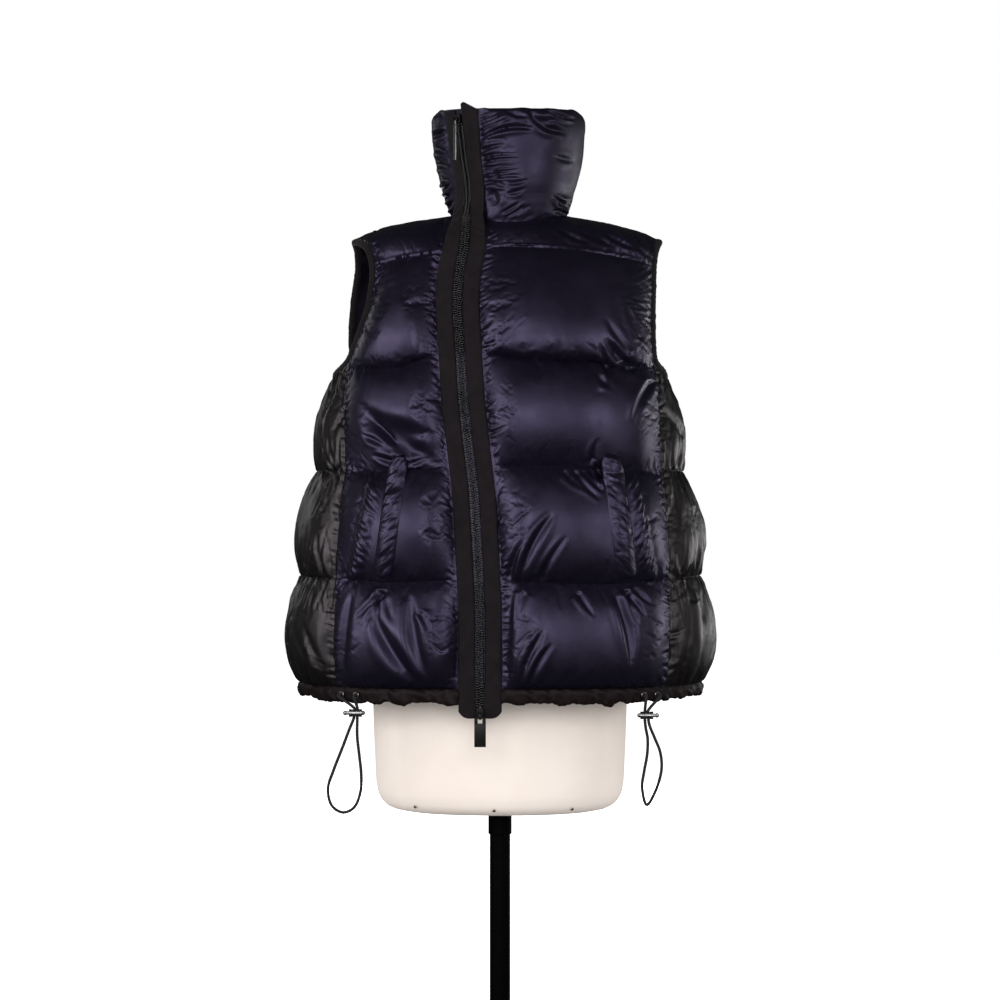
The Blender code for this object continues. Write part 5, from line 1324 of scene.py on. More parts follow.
def tape(name, sign, replaced):
    """A zip tape with rounded edges, a rounded lower end and slightly wavy sides."""
    across = np.linspace(0, 1, 13)
    ds = sign * (TAPE_IN + (TAPE_OUT - TAPE_IN) * across)
    lines = [zip_line(d) for d in ds]
    pts = np.stack([eased(p, 3) for p, _ in lines], 1)
    nor = unit(np.stack([eased(n, 3) for _, n in lines], 1))
    rows = len(pts)
    t = np.concatenate([[0], np.cumsum(np.linalg.norm(np.diff(pts[:, 6], axis=0), axis=1))])
    # the free lower end is cut round, the upper one turned over
    drop = np.where(across > 0.45, 0.0085 * (np.maximum(across - 0.45, 0) / 0.55) ** 2.6, 0.0012 * (np.maximum(0.45 - across, 0) / 0.45) ** 2)
    # below the hem it reaches in behind the teeth
    reach = TAPE_IN + (TAPE_OUT - TAPE_IN) * across
    deep = 0.0006 + (TAPE_OUT - 0.0006) * across
    low_pts = np.stack([eased(zip_line(sign * d)[0], 3) for d in deep], 1)
    under = 1 - smooth_step((t - 0.036) / 0.010)
    pts = pts + (low_pts - pts) * under[:, None, None]
    reach = reach[None, :] + (deep - reach)[None, :] * under[:, None]
    sunk = smooth_step((TAPE_IN - reach) / 0.0015)
    low = np.exp(-((t / 0.016) ** 2))
    pts[..., 2] += drop[None, :] * low[:, None]
    seed = 40 if sign < 0 else 41
    wave = 0.0006 * noise(t[:, None] / 0.045, across[None, :] * 1.5, seed) + 0.00022 * noise(t[:, None] / 0.012, across[None, :] * 2, seed + 2)
    neck = np.exp(-(((pts[:, 6, 2] - 1.056) / 0.026) ** 2))[:, None]
    wave = wave + 0.0013 * neck * billow(noise(t[:, None] / 0.013 + 0.8 * across[None, :], across[None, :] * 0.9, seed + 4))
    fold = np.exp(-(((pts[:, 6, 2] + (0.006 * across[None, :] - 0.003).mean() - 1.0800) / 0.0024) ** 2))[:, None]
    wave = wave - 0.0016 * fold * (sign > 0)
    edge = np.clip(np.minimum(across, 1 - across) / 0.10, 0, 1) ** 0.5
    high = TAPE_LOW + TAPE_T * (0.35 + 0.65 * edge)[None, :] + wave
    high = high + (TAPE_LOW + 0.0003 - high) * sunk
    if sign > 0:  # the right tape's corner stands up at the top of the collar
        up = smooth_step((t - (t[-1] - 0.030)) / 0.030)[:, None]
        corner = np.interp(across, (0.0, 0.22, 1.0), (0.72, 1.0, 0.12))[None, :]
        pts[..., 2] += 0.0108 * up * corner
        high = high + 0.004 * up * corner
    outer = pts + nor * high[..., None]
    inner = pts + nor * (TAPE_LOW - 0.0001 + (high - TAPE_LOW - TAPE_T) * 0.0)[..., None]
    if sign > 0:
        inner = inner + nor * (0.004 * up * corner)[..., None]
    verts = np.concatenate([outer.reshape(-1, 3), inner.reshape(-1, 3)])
    c = len(across)
    quads = [grid_quads(rows, c), grid_quads(rows, c, rows * c)[:, ::-1]]
    a, b = loop_of(rows, c), loop_of(rows, c, rows * c)
    quads.append(np.stack([a, np.roll(a, -1), np.roll(b, -1), b], -1))
    ob = build(name, verts, np.concatenate(quads), None, MAT["tape"], fix=True)
    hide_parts(replaced)
    return ob, outer, nor, t


tape_left, tape_left_p, tape_left_n, tape_t = tape("tape_left", -1, "zip_tape_left")
tape_right, tape_right_p, tape_right_n, _ = tape("tape_right", 1, "zip_tape_right")

zip_p, zip_n = zip_line(0.0)
ZIP_HEIGHTS = zip_p[:, 2].copy()


def index_at_height(z):
    return float(np.interp(z, ZIP_HEIGHTS, np.arange(len(ZIP_HEIGHTS))))


def zip_frame(z):
    pts, nor = zip_p, zip_n
    w = index_at_height(z)
    o, n = at_index(pts, w), at_index(nor, w)
    up = at_index(pts, min(w + 0.5, len(pts) - 1.0)) - at_index(pts, max(w - 0.5, 0.0))
    up /= np.linalg.norm(up)
    side = np.cross(up, n)
    side[2] = 0.0
    side /= np.linalg.norm(side)
    up -= side * up.dot(side)
    up /= np.linalg.norm(up)
    return o, side, up, np.cross(side, up)


def bevelled_box(size, bevel, segments=1):
    bm = bmesh.new()
    bmesh.ops.create_cube(bm, size=1.0)
    bmesh.ops.scale(bm, vec=size, verts=bm.verts)
    bmesh.ops.bevel(bm, geom=bm.edges[:], offset=bevel, segments=segments, profile=0.6, affect="EDGES")
    bmesh.ops.triangulate(bm, faces=[f for f in bm.faces if len(f.verts) > 4])
    return bm


def arrays_of(bm):
    bm.verts.ensure_lookup_table()
    v = np.array([x.co for x in bm.verts])
    q = [[x.index for x in f.verts] for f in bm.faces if len(f.verts) == 4]
    t = [[x.index for x in f.verts] for f in bm.faces if len(f.verts) == 3]
    bm.free()
    return v, np.array(q, np.int32).reshape(-1, 4), np.array(t, np.int32).reshape(-1, 3)


def many(name, template, frames, mat, slot, replaced=None, body=BODY):
    """One joined mesh of a template placed at each (origin, x, y, z axes)."""
    v, q, t = template
    vs, qs, ts = [], [], []
    for k, (o, x, y, z) in enumerate(frames):
        vs.append(o + v[:, :1] * x + v[:, 1:2] * y + v[:, 2:] * z)
        qs.append(q + k * len(v))
        ts.append(t + k * len(v))
    ob = build(name, np.concatenate(vs), np.concatenate(qs), np.concatenate(ts), mat, body=body, sharp=50)
    if replaced:
        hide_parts(replaced)
    return ob


def line_frames(p, n, step, start=0.0, end=None, offset=0.0):
    """Frames at even steps along a line: origin, sideways, along, outward."""
    d = np.concatenate([[0], np.cumsum(np.linalg.norm(np.diff(p, axis=0), axis=1))])
    end = d[-1] if end is None else end
    at = np.arange(start + step / 2, end, step)
    o = np.stack([np.interp(at, d, p[:, k]) for k in range(3)], -1)
    m = unit(np.stack([np.interp(at, d, n[:, k]) for k in range(3)], -1))
    a = np.stack([np.interp(at + 0.0008, d, p[:, k]) for k in range(3)], -1) - np.stack([np.interp(at - 0.0008, d, p[:, k]) for k in range(3)], -1)
    a = unit(a - m * (a * m).sum(1)[:, None])
    side = np.cross(a, m)
    return [(o[i] + m[i] * offset, side[i], a[i], m[i]) for i in range(len(o))]


# two rows of moulded teeth, on a thin core
zp, zn = eased(zip_p, 3), unit(eased(zip_n, 3))
z_dist = np.concatenate([[0], np.cumsum(np.linalg.norm(np.diff(zp, axis=0), axis=1))])
low_at = float(np.interp(SLIDER_Z["bottom"] + 0.0075, zp[:, 2], z_dist))
high_at = float(np.interp(SLIDER_Z["top"] - 0.0075, zp[:, 2], z_dist))
tooth = bevelled_box((0.0064, 0.0018, 0.0028), 0.00045)
tooth_frames = []
tooth_rng = np.random.default_rng(41)
for k, (o, x, y, z) in enumerate(line_frames(zp, zn, 0.00155, low_at, high_at, TAPE_LOW + 0.0015)):
    slow = noise(k / 16.0, 0.5, 43)
    roll, pitch = 0.30 * noise(k / 9.0, 0.5, 45) + tooth_rng.normal(0, 0.08), 0.42 * slow + tooth_rng.normal(0.0, 0.08)
    x2, z2 = unit(x + z * roll), unit(z - x * roll)
    y2, z3 = unit(y + z2 * pitch), unit(z2 - y * pitch)
    tooth_frames.append((o + x * (0.0026 if k % 2 else -0.0026), x2, y2, z3))


def chain():
    """The teeth and the cords that they are moulded on, as one mesh."""
    v, q, t = arrays_of(tooth)
    vs, qs, ts, count = [], [], [], 0
    for o, x, y, z in tooth_frames:
        vs.append(o + v[:, :1] * x + v[:, 1:2] * y + v[:, 2:] * z)
        qs.append(q + count)
        ts.append(t + count)
        count += len(v)
    keep = slice(int(np.searchsorted(z_dist, low_at)), int(np.searchsorted(z_dist, high_at)))
    p, n = zp[keep], zn[keep]
    side = unit(np.cross(unit(np.gradient(p, axis=0)), n))
    for sign in (-1, 1):
        around = 10
        rings = []
        for k in range(around):
            a = 2 * math.pi * k / around
            rings.append(p + side * (sign * 0.0040 + 0.0009 * math.cos(a)) + n * (TAPE_LOW + 0.0001 + 0.0007 * math.sin(a)))
        tube = np.stack(rings, 1)
        rows = len(tube)
        vs.append(tube.reshape(-1, 3))
        vs.append(np.array([tube[0].mean(0), tube[-1].mean(0)]))
        qs.append(grid_quads(rows, around, count, True))
        k = np.arange(around)
        m = (k + 1) % around
        c0, c1 = count + rows * around, count + rows * around + 1
        last = count + (rows - 1) * around
        ts.append(np.stack([np.full(around, c0), count + m, count + k], -1))
        ts.append(np.stack([np.full(around, c1), last + k, last + m], -1))
        count += rows * around + 2
    ob = build("zip_teeth", np.concatenate(vs), np.concatenate(qs), np.concatenate(ts), MAT["teeth"], fix=True, sharp=50)
    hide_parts("zip_chain")


chain()

bar_out, bar_r = 0.0112, 0.0009


def slider(which):
    """A zip slider: a body that narrows to one end, and a bridge that holds the bar."""
    o, side, up, n = zip_frame(SLIDER_Z[which])
    flip = 1.0 if which == "bottom" else -1.0
    bm = bevelled_box((0.0098, 0.0130, 0.0046), 0.0010, 3)
    for v in bm.verts:
        k = np.clip(0.5 + flip * v.co.y / 0.0130, 0, 1)
        v.co.x *= 1.0 - 0.26 * k
        v.co.z *= 1.0 - 0.18 * abs(v.co.x) / 0.0049
    v, q, t = arrays_of(bm)
    v = v + np.array((0, 0, 0.0034 + 0.0025))
    parts = [(v, q, t)]
    for s in (-1, 1):
        w, q2, t2 = arrays_of(bevelled_box((0.0012, 0.0042, 0.0050), 0.0004, 2))
        parts.append((w + np.array((s * 0.0036, 0, 0.0102)), q2, t2))
    bm = bmesh.new()
    bmesh.ops.create_cone(bm, cap_ends=True, segments=16, radius1=bar_r, radius2=bar_r, depth=0.0078)
    bmesh.ops.triangulate(bm, faces=[f for f in bm.faces if len(f.verts) > 4])
    v, q, t = arrays_of(bm)
    parts.append((np.stack([v[:, 2], v[:, 1], v[:, 0] + bar_out], -1), q, t))
    count, vs, qs, ts = 0, [], [], []
    for v, q, t in parts:
        vs.append(o + v[:, :1] * side + v[:, 1:2] * up + v[:, 2:] * n)
        qs.append(q + count)
        ts.append(t + count)
        count += len(v)
    ob = build("slider_" + which, np.concatenate(vs), np.concatenate(qs), np.concatenate(ts), MAT["black"], fix=True, sharp=45)
    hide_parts("zip_slider_" + which)
    return o + n * bar_out, side, n


def pull(which, bar, side, n):
    """A flat pull that hangs from the slider's bar by a round eye."""
    up = np.array((0.0, 0.0, 1.0))
    out = np.cross(side, up)
    if out.dot(n) < 0:
        out = -out
    width, thick, length = {"top": (0.0050, 0.0016, 0.0540), "bottom": (0.0145, 0.0018, 0.0430)}[which]
    parts = []
    # the eye: a ring round the bar
    bm = bmesh.new()
    seg = 24
    rings = []
    for k in range(seg):
        a = 2 * math.pi * k / seg
        loop = []
        for r, w in ((0.00125, -0.0021), (0.0021, -0.0023), (0.0021, 0.0023), (0.00125, 0.0021)):
            loop.append(bm.verts.new((w, r * math.cos(a), r * math.sin(a))))
        rings.append(loop)
    for k in range(seg):
        a, b = rings[k], rings[(k + 1) % seg]
        for m in range(4):
            bm.faces.new((a[m], a[(m + 1) % 4], b[(m + 1) % 4], b[m]))
    parts.append(arrays_of(bm))
    # the neck and the blade
    v, q, t = arrays_of(bevelled_box((0.0038, 0.0070, thick), 0.0004, 2))
    parts.append((v + np.array((0, -0.0048, 0)), q, t))
    body = length - 0.0065
    mid = -0.0065 - body / 2 + 0.0006
    if which == "top":
        v, q, t = arrays_of(bevelled_box((width, body, thick), 0.00055, 3))
        parts.append((v + np.array((0, mid, 0)), q, t))
    else:  # a blade with a square window near its top
        hole, hole_y = 0.0058, -0.0100
        top, bottom = mid + body / 2, mid - body / 2
        rail = (width - hole) / 2
        for s in (-1, 1):
            v, q, t = arrays_of(bevelled_box((rail, top - (hole_y - hole / 2) + 0.001, thick), 0.0004, 2))
            parts.append((v + np.array((s * (hole + rail) / 2, (top + hole_y - hole / 2 - 0.001) / 2, 0)), q, t))
        v, q, t = arrays_of(bevelled_box((width, top - hole_y - hole / 2, thick), 0.0003, 2))
        parts.append((v + np.array((0, (top + hole_y + hole / 2) / 2, 0)), q, t))
        v, q, t = arrays_of(bevelled_box((width, hole_y - hole / 2 - bottom, thick), 0.0004, 2))
        parts.append((v + np.array((0, (hole_y - hole / 2 + bottom) / 2, 0)), q, t))
    count, vs, qs, ts = 0, [], [], []
    for v, q, t in parts:
        vs.append(bar + v[:, :1] * side + v[:, 1:2] * up + v[:, 2:] * out)
        qs.append(q + count)
        ts.append(t + count)
        count += len(v)
    ob = build("pull_" + which, np.concatenate(vs), np.concatenate(qs), np.concatenate(ts), MAT["edge" if which == "top" else "black"],
               body=which + "_pull", fix=True, sharp=45)
    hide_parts("zip_pull_" + which)


for end_name in ("top", "bottom"):
    pull(end_name, *slider(end_name))


# ------------------------------------------------------------------ hem casing
def casing_ring(share_list, x0):
    a = float(angle_of_x(0.0, x0 + 0.0268))
    b = float(angle_of_x(0.0, x0 - 0.0268)) + 2 * math.pi
    return by_length(ring(0.0, np.linspace(a, b, 721)), share_list)


def casing():
    """A gathered tunnel of cloth round the hem, its lower edge scalloped."""
    count, around = 900, 20
    shares = np.linspace(0, 1, count)
    x0 = float(zip_x(0.46))
    p = casing_ring(shares, x0)
    q, r = casing_ring(shares + 0.001, x0), casing_ring(shares - 0.001, x0)
    n = unit(np.cross(q - r, np.array((0.0, 0.0, 1.0))))
    length = float(np.linalg.norm(np.diff(p, axis=0), axis=1).sum())
    s = shares * length
    top = LEVELS[0, 0] + 0.0022
    verts = np.zeros((count, around, 3))
    drift = 0.4 * noise(s / 0.06, 0.1, 62)
    lobes = billow(noise(s / 0.026 + drift, 0.4, 64))
    for k in range(around):
        a = 2 * math.pi * k / around
        c, sn = math.cos(a), math.sin(a)
        up = np.sign(sn) * abs(sn) ** 0.75
        out = np.sign(c) * abs(c) ** 0.75
        lean = 0.010 * up
        gather = billow(noise((s + lean) / 0.0135 + drift, 0.4 + 0.5 * up, 61))
        fine = billow(noise((s - lean) / 0.0062, 0.4 + 0.9 * up, 63))
        half_t = CASING_T * 0.5 * (1.0 + 0.34 * gather + 0.15 * fine + 0.12 * lobes) * (0.62 if sn > 0.5 else 1.0)
        front = smooth_step((-p[:, 1] - 0.08) / 0.08)
        low = CASING_H * (0.52 + 0.24 * front + 0.20 * lobes * (sn < 0) + 0.05 * fine * (sn < 0))
        z = top - CASING_H * 0.60 + up * np.where(sn > 0, CASING_H * 0.60, low)
        verts[:, k] = p + n * (out * half_t + 0.0009 * gather * (c > 0))[:, None]
        verts[:, k, 2] = np.minimum(z, top)
    vs = verts.reshape(-1, 3)
    quads = grid_quads(count, around, 0, True)
    centre = np.array([verts[0].mean(0), verts[-1].mean(0)])
    vs = np.concatenate([vs, centre])
    k = np.arange(around)
    m = (k + 1) % around
    tris = np.concatenate([
        np.stack([np.full(around, len(vs) - 2), m, k], -1),
        np.stack([np.full(around, len(vs) - 1), (count - 1) * around + k, (count - 1) * around + m], -1),
    ])
    ob = build("hem_tunnel", vs, quads, tris, MAT["casing"], fix=True)
    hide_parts("hem_casing")
    return ob


casing()


# ------------------------------------------------------------------ armhole bindings
def edge_points(name, u, vs):
    eps = 0.02
    pts, away, nor = [], [], []
    for v in vs:
        row = ROW[name](v)
        us = np.array((0.0, eps)) if u == 0 else np.array((1.0 - eps, 1.0))
        e = 0.004
        cen, al = by_length(row, us), by_length(row, np.clip(us + 0.004, 0, 1)) - by_length(row, np.clip(us - 0.004, 0, 1))
        hi, lo = ROW[name](min(v + e, 5.0)), ROW[name](max(v - e, 0.0))
        n = unit(np.cross(by_length(hi, us) - by_length(lo, us), al)) * OUTWARD[name]
        if v > 4.4:
            k = float(smooth_step((v - 4.4) / 0.6))
            top = unit(np.stack([0.15 * np.sign(cen[:, 0]), np.zeros(2), np.ones(2)], -1))
            n = unit(n * (1 - k) + top * k)
        i = 0 if u == 0 else 1
        pts.append(cen[i])
        away.append(cen[i] - cen[1 - i])
        nor.append(n[i])
    return np.array(pts), unit(np.array(away)), np.array(nor)


def binding_loop(side):
    arm = np.linspace(3.02, 4.97, 40)
    f, fo, fn = edge_points("front_" + side, 1, arm)
    b, bo, bn = edge_points("back", 0 if side == "right" else 1, arm)
    us = np.linspace(0.03, 0.97, 16)
    rows = [by_length(ROW["side_" + side](v), us) for v in (2.9, 3.0)]
    along = np.gradient(rows[1], axis=0)
    so = unit(rows[1] - rows[0])
    sn = unit(np.cross(rows[1] - rows[0], along)) * OUTWARD["side_" + side]
    pts = np.concatenate([f[::-1], rows[1], b])
    away = np.concatenate([fo[::-1], so, bo])
    nor = np.concatenate([fn[::-1], sn, bn])
    off = np.full(len(pts), -0.0002)
    line = pts + away * (BINDING_W / 2 + off)[:, None]
    closed = np.concatenate([line, line[:1]])
    shares = np.linspace(0, 1, 161)[:-1]
    d = np.concatenate([[0], np.cumsum(np.linalg.norm(np.diff(closed, axis=0), axis=1))])
    d /= d[-1]
    cn_ = np.concatenate([nor, nor[:1]])
    line = np.stack([np.interp(shares, d, closed[:, k]) for k in range(3)], -1)
    nor = np.stack([np.interp(shares, d, cn_[:, k]) for k in range(3)], -1)
    for _ in range(10):
        line = (np.roll(line, 1, 0) + 2 * line + np.roll(line, -1, 0)) / 4
        nor = (np.roll(nor, 1, 0) + 2 * nor + np.roll(nor, -1, 0)) / 4
    # the tip lies under the rounded end of the shoulder
    near = smooth_step((line[:, 2] - 1.022) / 0.024)
    line[:, 2] -= near * 0.0050
    line[:, 0] += near * (0.0030 if side == "left" else -0.0015)
    return line, nor


def binding(side):
    """A gathered strip folded round the armhole's edge."""
    line, nor = binding_loop(side)
    for _ in range(1):
        line = np.stack([(line), (line + np.roll(line, -1, 0)) / 2], 1).reshape(-1, 3)
        nor = np.stack([(nor), (nor + np.roll(nor, -1, 0)) / 2], 1).reshape(-1, 3)
    along = unit(np.roll(line, -1, 0) - np.roll(line, 1, 0))
    nor = unit(nor - along * (nor * along).sum(1)[:, None])
    across = np.cross(along, nor)
    step = np.linalg.norm(np.roll(line, -1, 0) - line, axis=1)
    d = np.cumsum(step) - step[0]
    total = float(step.sum())
    count, around = len(line), 14
    wide = 1.0 if side == "left" else 1.18
    seed = 70 if side == "left" else 75
    turn = d / total * 2 * math.pi  # noise on a circle, so that the strip closes
    cx, cy = np.cos(turn) * total / (2 * math.pi), np.sin(turn) * total / (2 * math.pi)
    g = billow(noise(cx / 0.0085, cy / 0.0085, seed))
    verts = np.zeros((count, around, 3))
    for k in range(around):
        a = 2 * math.pi * k / around
        c, s = math.cos(a), math.sin(a)
        w = wide * BINDING_W / 2 * np.sign(c) * abs(c) ** 0.8
        t = wide * BINDING_T / 2 * np.sign(s) * abs(s) ** 0.8 * (1.0 + 0.16 * g)
        verts[:, k] = line + across * w + nor * (t)[:, None]
    ob = build("arm_binding_" + side, verts.reshape(-1, 3), np.concatenate([
        grid_quads(count, around, 0, True),
        np.stack([(count - 1) * around + np.arange(around), (count - 1) * around + (np.arange(around) + 1) % around,
                  (np.arange(around) + 1) % around, np.arange(around)], -1)]), None, MAT["tape"], fix=True)
    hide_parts("armhole_binding_" + side)


for arm_side in ("left", "right"):
    binding(arm_side)


# ------------------------------------------------------------------ pocket welts
def welt(side):
    """A puckered strip along the slanted pocket, laid on the blown-up front."""
    g = fine_panels["front_" + side]
    low_x, high_x, width = WELTS[side]
    low_x, high_x = (low_x + 0.0042, high_x + 0.0042) if side == "left" else (low_x, high_x)
    r0 = int(round((ROWS[0] + ROWS[1] * (WELT_V[0] - 0.025 - 1)) * 2))
    r1 = int(round((ROWS[0] + ROWS[1] + ROWS[2] * (WELT_V[1] + 0.045 - 2)) * 2))
    ra, rb = int((ROWS[0] + ROWS[1] * 0.86) * 2), int((ROWS[0] + ROWS[1] + ROWS[2] * 0.17) * 2)
    rows = np.linspace(r0, r1, 121)
    cols = 27
    base, nor = [], []
    for i, r in enumerate(rows):
        a = int(min(math.floor(r), r1 - 1))
        f = r - a
        line = g["outer"][a] * (1 - f) + g["outer"][a + 1] * f
        n = g["nor"][a] * (1 - f) + g["nor"][a + 1] * f
        if r > ra:  # the upper end bridges the seam's groove
            w = (r - ra) / (rb - ra)
            line = line.copy()
            line[:, 1] = np.minimum(line[:, 1], g["outer"][ra][:, 1] * (1 - w) + g["outer"][rb][:, 1] * w)
            n = g["nor"][ra] * (1 - w) + g["nor"][rb] * w
        x = low_x + (high_x - low_x) * i / (len(rows) - 1)
        xs = line[:, 0]
        order = np.argsort(xs)
        share_i = i / (len(rows) - 1)
        narrow = 1.0 - 0.30 * math.exp(-((share_i / 0.06) ** 2)) - 0.34 * math.exp(-(((1 - share_i) / 0.07) ** 2))
        want = x + np.linspace(-0.5, 0.5, cols) * width * narrow
        base.append(np.stack([np.interp(want, xs[order], line[order, k]) for k in range(3)], -1))
        nor.append(np.stack([np.interp(want, xs[order], n[order, k]) for k in range(3)], -1))
    base, nor = np.array(base), np.array(nor)
    for _ in range(8):  # the strip bridges the small folds under it
        for arr in (base, nor):
            arr[1:-1, 1:-1] = (arr[:-2, 1:-1] + arr[2:, 1:-1] + arr[1:-1, :-2] + arr[1:-1, 2:]) / 4
    nor = unit(nor)
    across = np.linspace(-1, 1, cols)
    share = np.linspace(0, 1, len(rows))
    t = share * 0.152
    seed = 80 if side == "left" else 85
    hump = np.clip(1 - np.abs(across) ** 2.4, 0, 1) ** 0.62
    end = smooth_step(share / 0.07) * smooth_step((1 - share) / 0.05)
    wobble = 1.0 + 0.22 * noise(t / 0.020, 0.5, seed + 2)
    body = 0.0070 * hump[None, :] * (end * wobble)[:, None]
    slant = t[:, None] - (0.0085 if side == "left" else -0.0085) * across[None, :] + 0.002 * noise(t[:, None] / 0.03, across[None, :], seed + 3)
    fold = billow(noise(slant / 0.0135, across[None, :] * 0.6 + 5.5, seed)) * 0.0012 + billow(noise(slant / 0.0062, across[None, :] * 1.0 + 5.5, seed + 1)) * 0.0005
    edge = np.clip((1 - np.abs(across)) / 0.35, 0, 1)[None, :] * end[:, None]
    high = -0.0012 + body + fold * edge
    outer = base + nor * high[..., None]
    inner = base + nor * (-0.0030)
    verts = np.concatenate([outer.reshape(-1, 3), inner.reshape(-1, 3)])
    r, c = outer.shape[:2]
    a, b = loop_of(r, c), loop_of(r, c, r * c)
    quads = np.concatenate([grid_quads(r, c), grid_quads(r, c, r * c)[:, ::-1], np.stack([a, np.roll(a, -1), np.roll(b, -1), b], -1)])
    ob = build("welt_" + side, verts, quads, None, MAT["nylon"], fix=True)
    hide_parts("pocket_welt_" + side)


for welt_side in ("left", "right"):
    welt(welt_side)


# ------------------------------------------------------------------ drawcords
def casing_frame(x):
    phi = np.array((float(angle_of_x(0.0, x)),))
    p = ring(0.0, phi)
    e = 1e-3
    n = np.cross(np.array((0.0, 0.0, 1.0)), ring(0.0, phi - e) - ring(0.0, phi + e))
    p, n = p[0], (n / np.linalg.norm(n, axis=-1)[..., None])[0]
    p[2] = LEVELS[0, 0] - GAP - CASING_H * 0.55
    return p + n * (CASING_T * 0.55), n


def cord_route(side, count):
    x, y, z = LOCKS[side]
    loop = LOOP_LEFT if side == "left" else LOOP_RIGHT
    xa, xb = EYELET_X[side]
    (pa, na), (pb, nb) = casing_frame(xa), casing_frame(xb)
    low = np.array((0.0, 0.0, -0.0022))
    start = [pa + na * 0.0006, pa + na * 0.0035, pa + na * 0.0062 + low]
    end = [pb + nb * 0.0062 + low, pb + nb * 0.0035, pb + nb * 0.0006]
    a = [(x - STRAND_HALF, y, z + 0.0070), (x - STRAND_HALF, y, z), (x - STRAND_HALF, y, z - 0.0070)]
    b = [(x + STRAND_HALF, y, z - 0.0070), (x + STRAND_HALF, y, z), (x + STRAND_HALF, y, z + 0.0070)]
    free = [(lx, y + ly, lz) for lx, lz, ly in loop]
    return smooth_route([*start, *a, *free, *b, *end], count)


def drawcord(side):
    route = cord_route(side, 200)
    n = np.gradient(route, axis=0)
    n = unit(n)
    side_v = unit(np.cross(n, np.array((0.0, 1.0, 0.0))))
    other = np.cross(n, side_v)
    count, around = len(route), 12
    d = np.linspace(0, 1, count) * float(np.linalg.norm(np.diff(route, axis=0), axis=1).sum())
    verts = np.zeros((count, around, 3))
    for k in range(around):
        a = 2 * math.pi * k / around
        # a braid's rise and fall, two ways round
        r = CORD_D / 2 * (1.07 + 0.035 * np.sin(2 * math.pi * d / 0.0030 + 2 * a) + 0.035 * np.sin(2 * math.pi * d / 0.0030 - 2 * a))
        verts[:, k] = route + side_v * (math.cos(a) * r)[:, None] + other * (math.sin(a) * r)[:, None]
    vs = np.concatenate([verts.reshape(-1, 3), [route[0]], [route[-1]]])
    k = np.arange(around)
    m = (k + 1) % around
    tris = np.concatenate([
        np.stack([np.full(around, len(vs) - 2), m, k], -1),
        np.stack([np.full(around, len(vs) - 1), (count - 1) * around + k, (count - 1) * around + m], -1)])
    ob = build("cord_loop_" + side, vs, grid_quads(count, around, 0, True), tris, MAT["cord"], fix=True)
    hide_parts("drawcord_" + side)


for cord_side in ("left", "right"):
    for part_name, slot_name in (("cord_lock_", "hardware"), ("lock_plunger_", "hardware")):
        node = nodes[part_name + cord_side]
        node.data.materials.clear()
        node.data.materials.append(MAT["pewter"])
    for letter in "ab":
        node = nodes[f"eyelet_{cord_side}_{letter}"]
        node.data.materials.clear()
        node.data.materials.append(MAT["pewter"])
    drawcord(cord_side)


# ------------------------------------------------------------------ form and stand
def form_body():
    """The form's smooth shell, covered in linen."""
    z = FORM[:, 0]
    levels = np.concatenate([np.linspace(z[0], z[5], 26), np.linspace(z[5], z[15], 100)[1:], np.linspace(z[15], z[-1], 46)[1:]])
    rows = np.array(FORM)
    for _ in range(3):
        rows = finer(rows, 0)
    prof = np.stack([np.interp(levels, rows[:, 0], rows[:, k]) for k in range(1, 4)], -1)
    count = 144
    phi = np.linspace(0, 2 * math.pi, count, endpoint=False)
    c, s = np.cos(phi), np.sin(phi)
    e = 2.0 / FORM_POWER
    verts = np.zeros((len(levels), count, 3))
    for i, (a, bf, bb) in enumerate(prof):
        verts[i, :, 0] = a * np.sign(s) * np.abs(s) ** e
        verts[i, :, 1] = FORM_Y - np.where(c > 0, bf, bb) * np.sign(c) * np.abs(c) ** e
        verts[i, :, 2] = levels[i]
    vs = np.concatenate([verts.reshape(-1, 3), [[0, FORM_Y, levels[0]]], [[0, FORM_Y, levels[-1] + 0.0003]]])
    k = np.arange(count)
    m = (k + 1) % count
    last = (len(levels) - 1) * count
    tris = np.concatenate([
        np.stack([np.full(count, len(vs) - 2), m, k], -1),
        np.stack([np.full(count, len(vs) - 1), last + k, last + m], -1)])
    ob = build("linen_form", vs, grid_quads(len(levels), count, 0, True), tris, MAT["linen"], fix=True, sharp=60)
    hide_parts("dress_form")


def turned(name, profile, mat, replaced, steps=64):
    """A turned piece from a (radius, height) profile, top to bottom."""
    prof = np.array(profile)
    a = np.linspace(0, 2 * math.pi, steps, endpoint=False)
    verts = np.stack([prof[:, :1] * np.cos(a), prof[:, :1] * np.sin(a), prof[:, 1:] + 0 * a], -1)
    vs = np.concatenate([verts.reshape(-1, 3), [[0, 0, prof[0, 1]]], [[0, 0, prof[-1, 1]]]])
    k = np.arange(steps)
    m = (k + 1) % steps
    last = (len(prof) - 1) * steps
    tris = np.concatenate([
        np.stack([np.full(steps, len(vs) - 2), k, m], -1),
        np.stack([np.full(steps, len(vs) - 1), last + m, last + k], -1)])
    ob = build(name, vs, grid_quads(len(prof), steps, 0, True), tris, mat, fix=True, sharp=35)
    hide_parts(replaced)


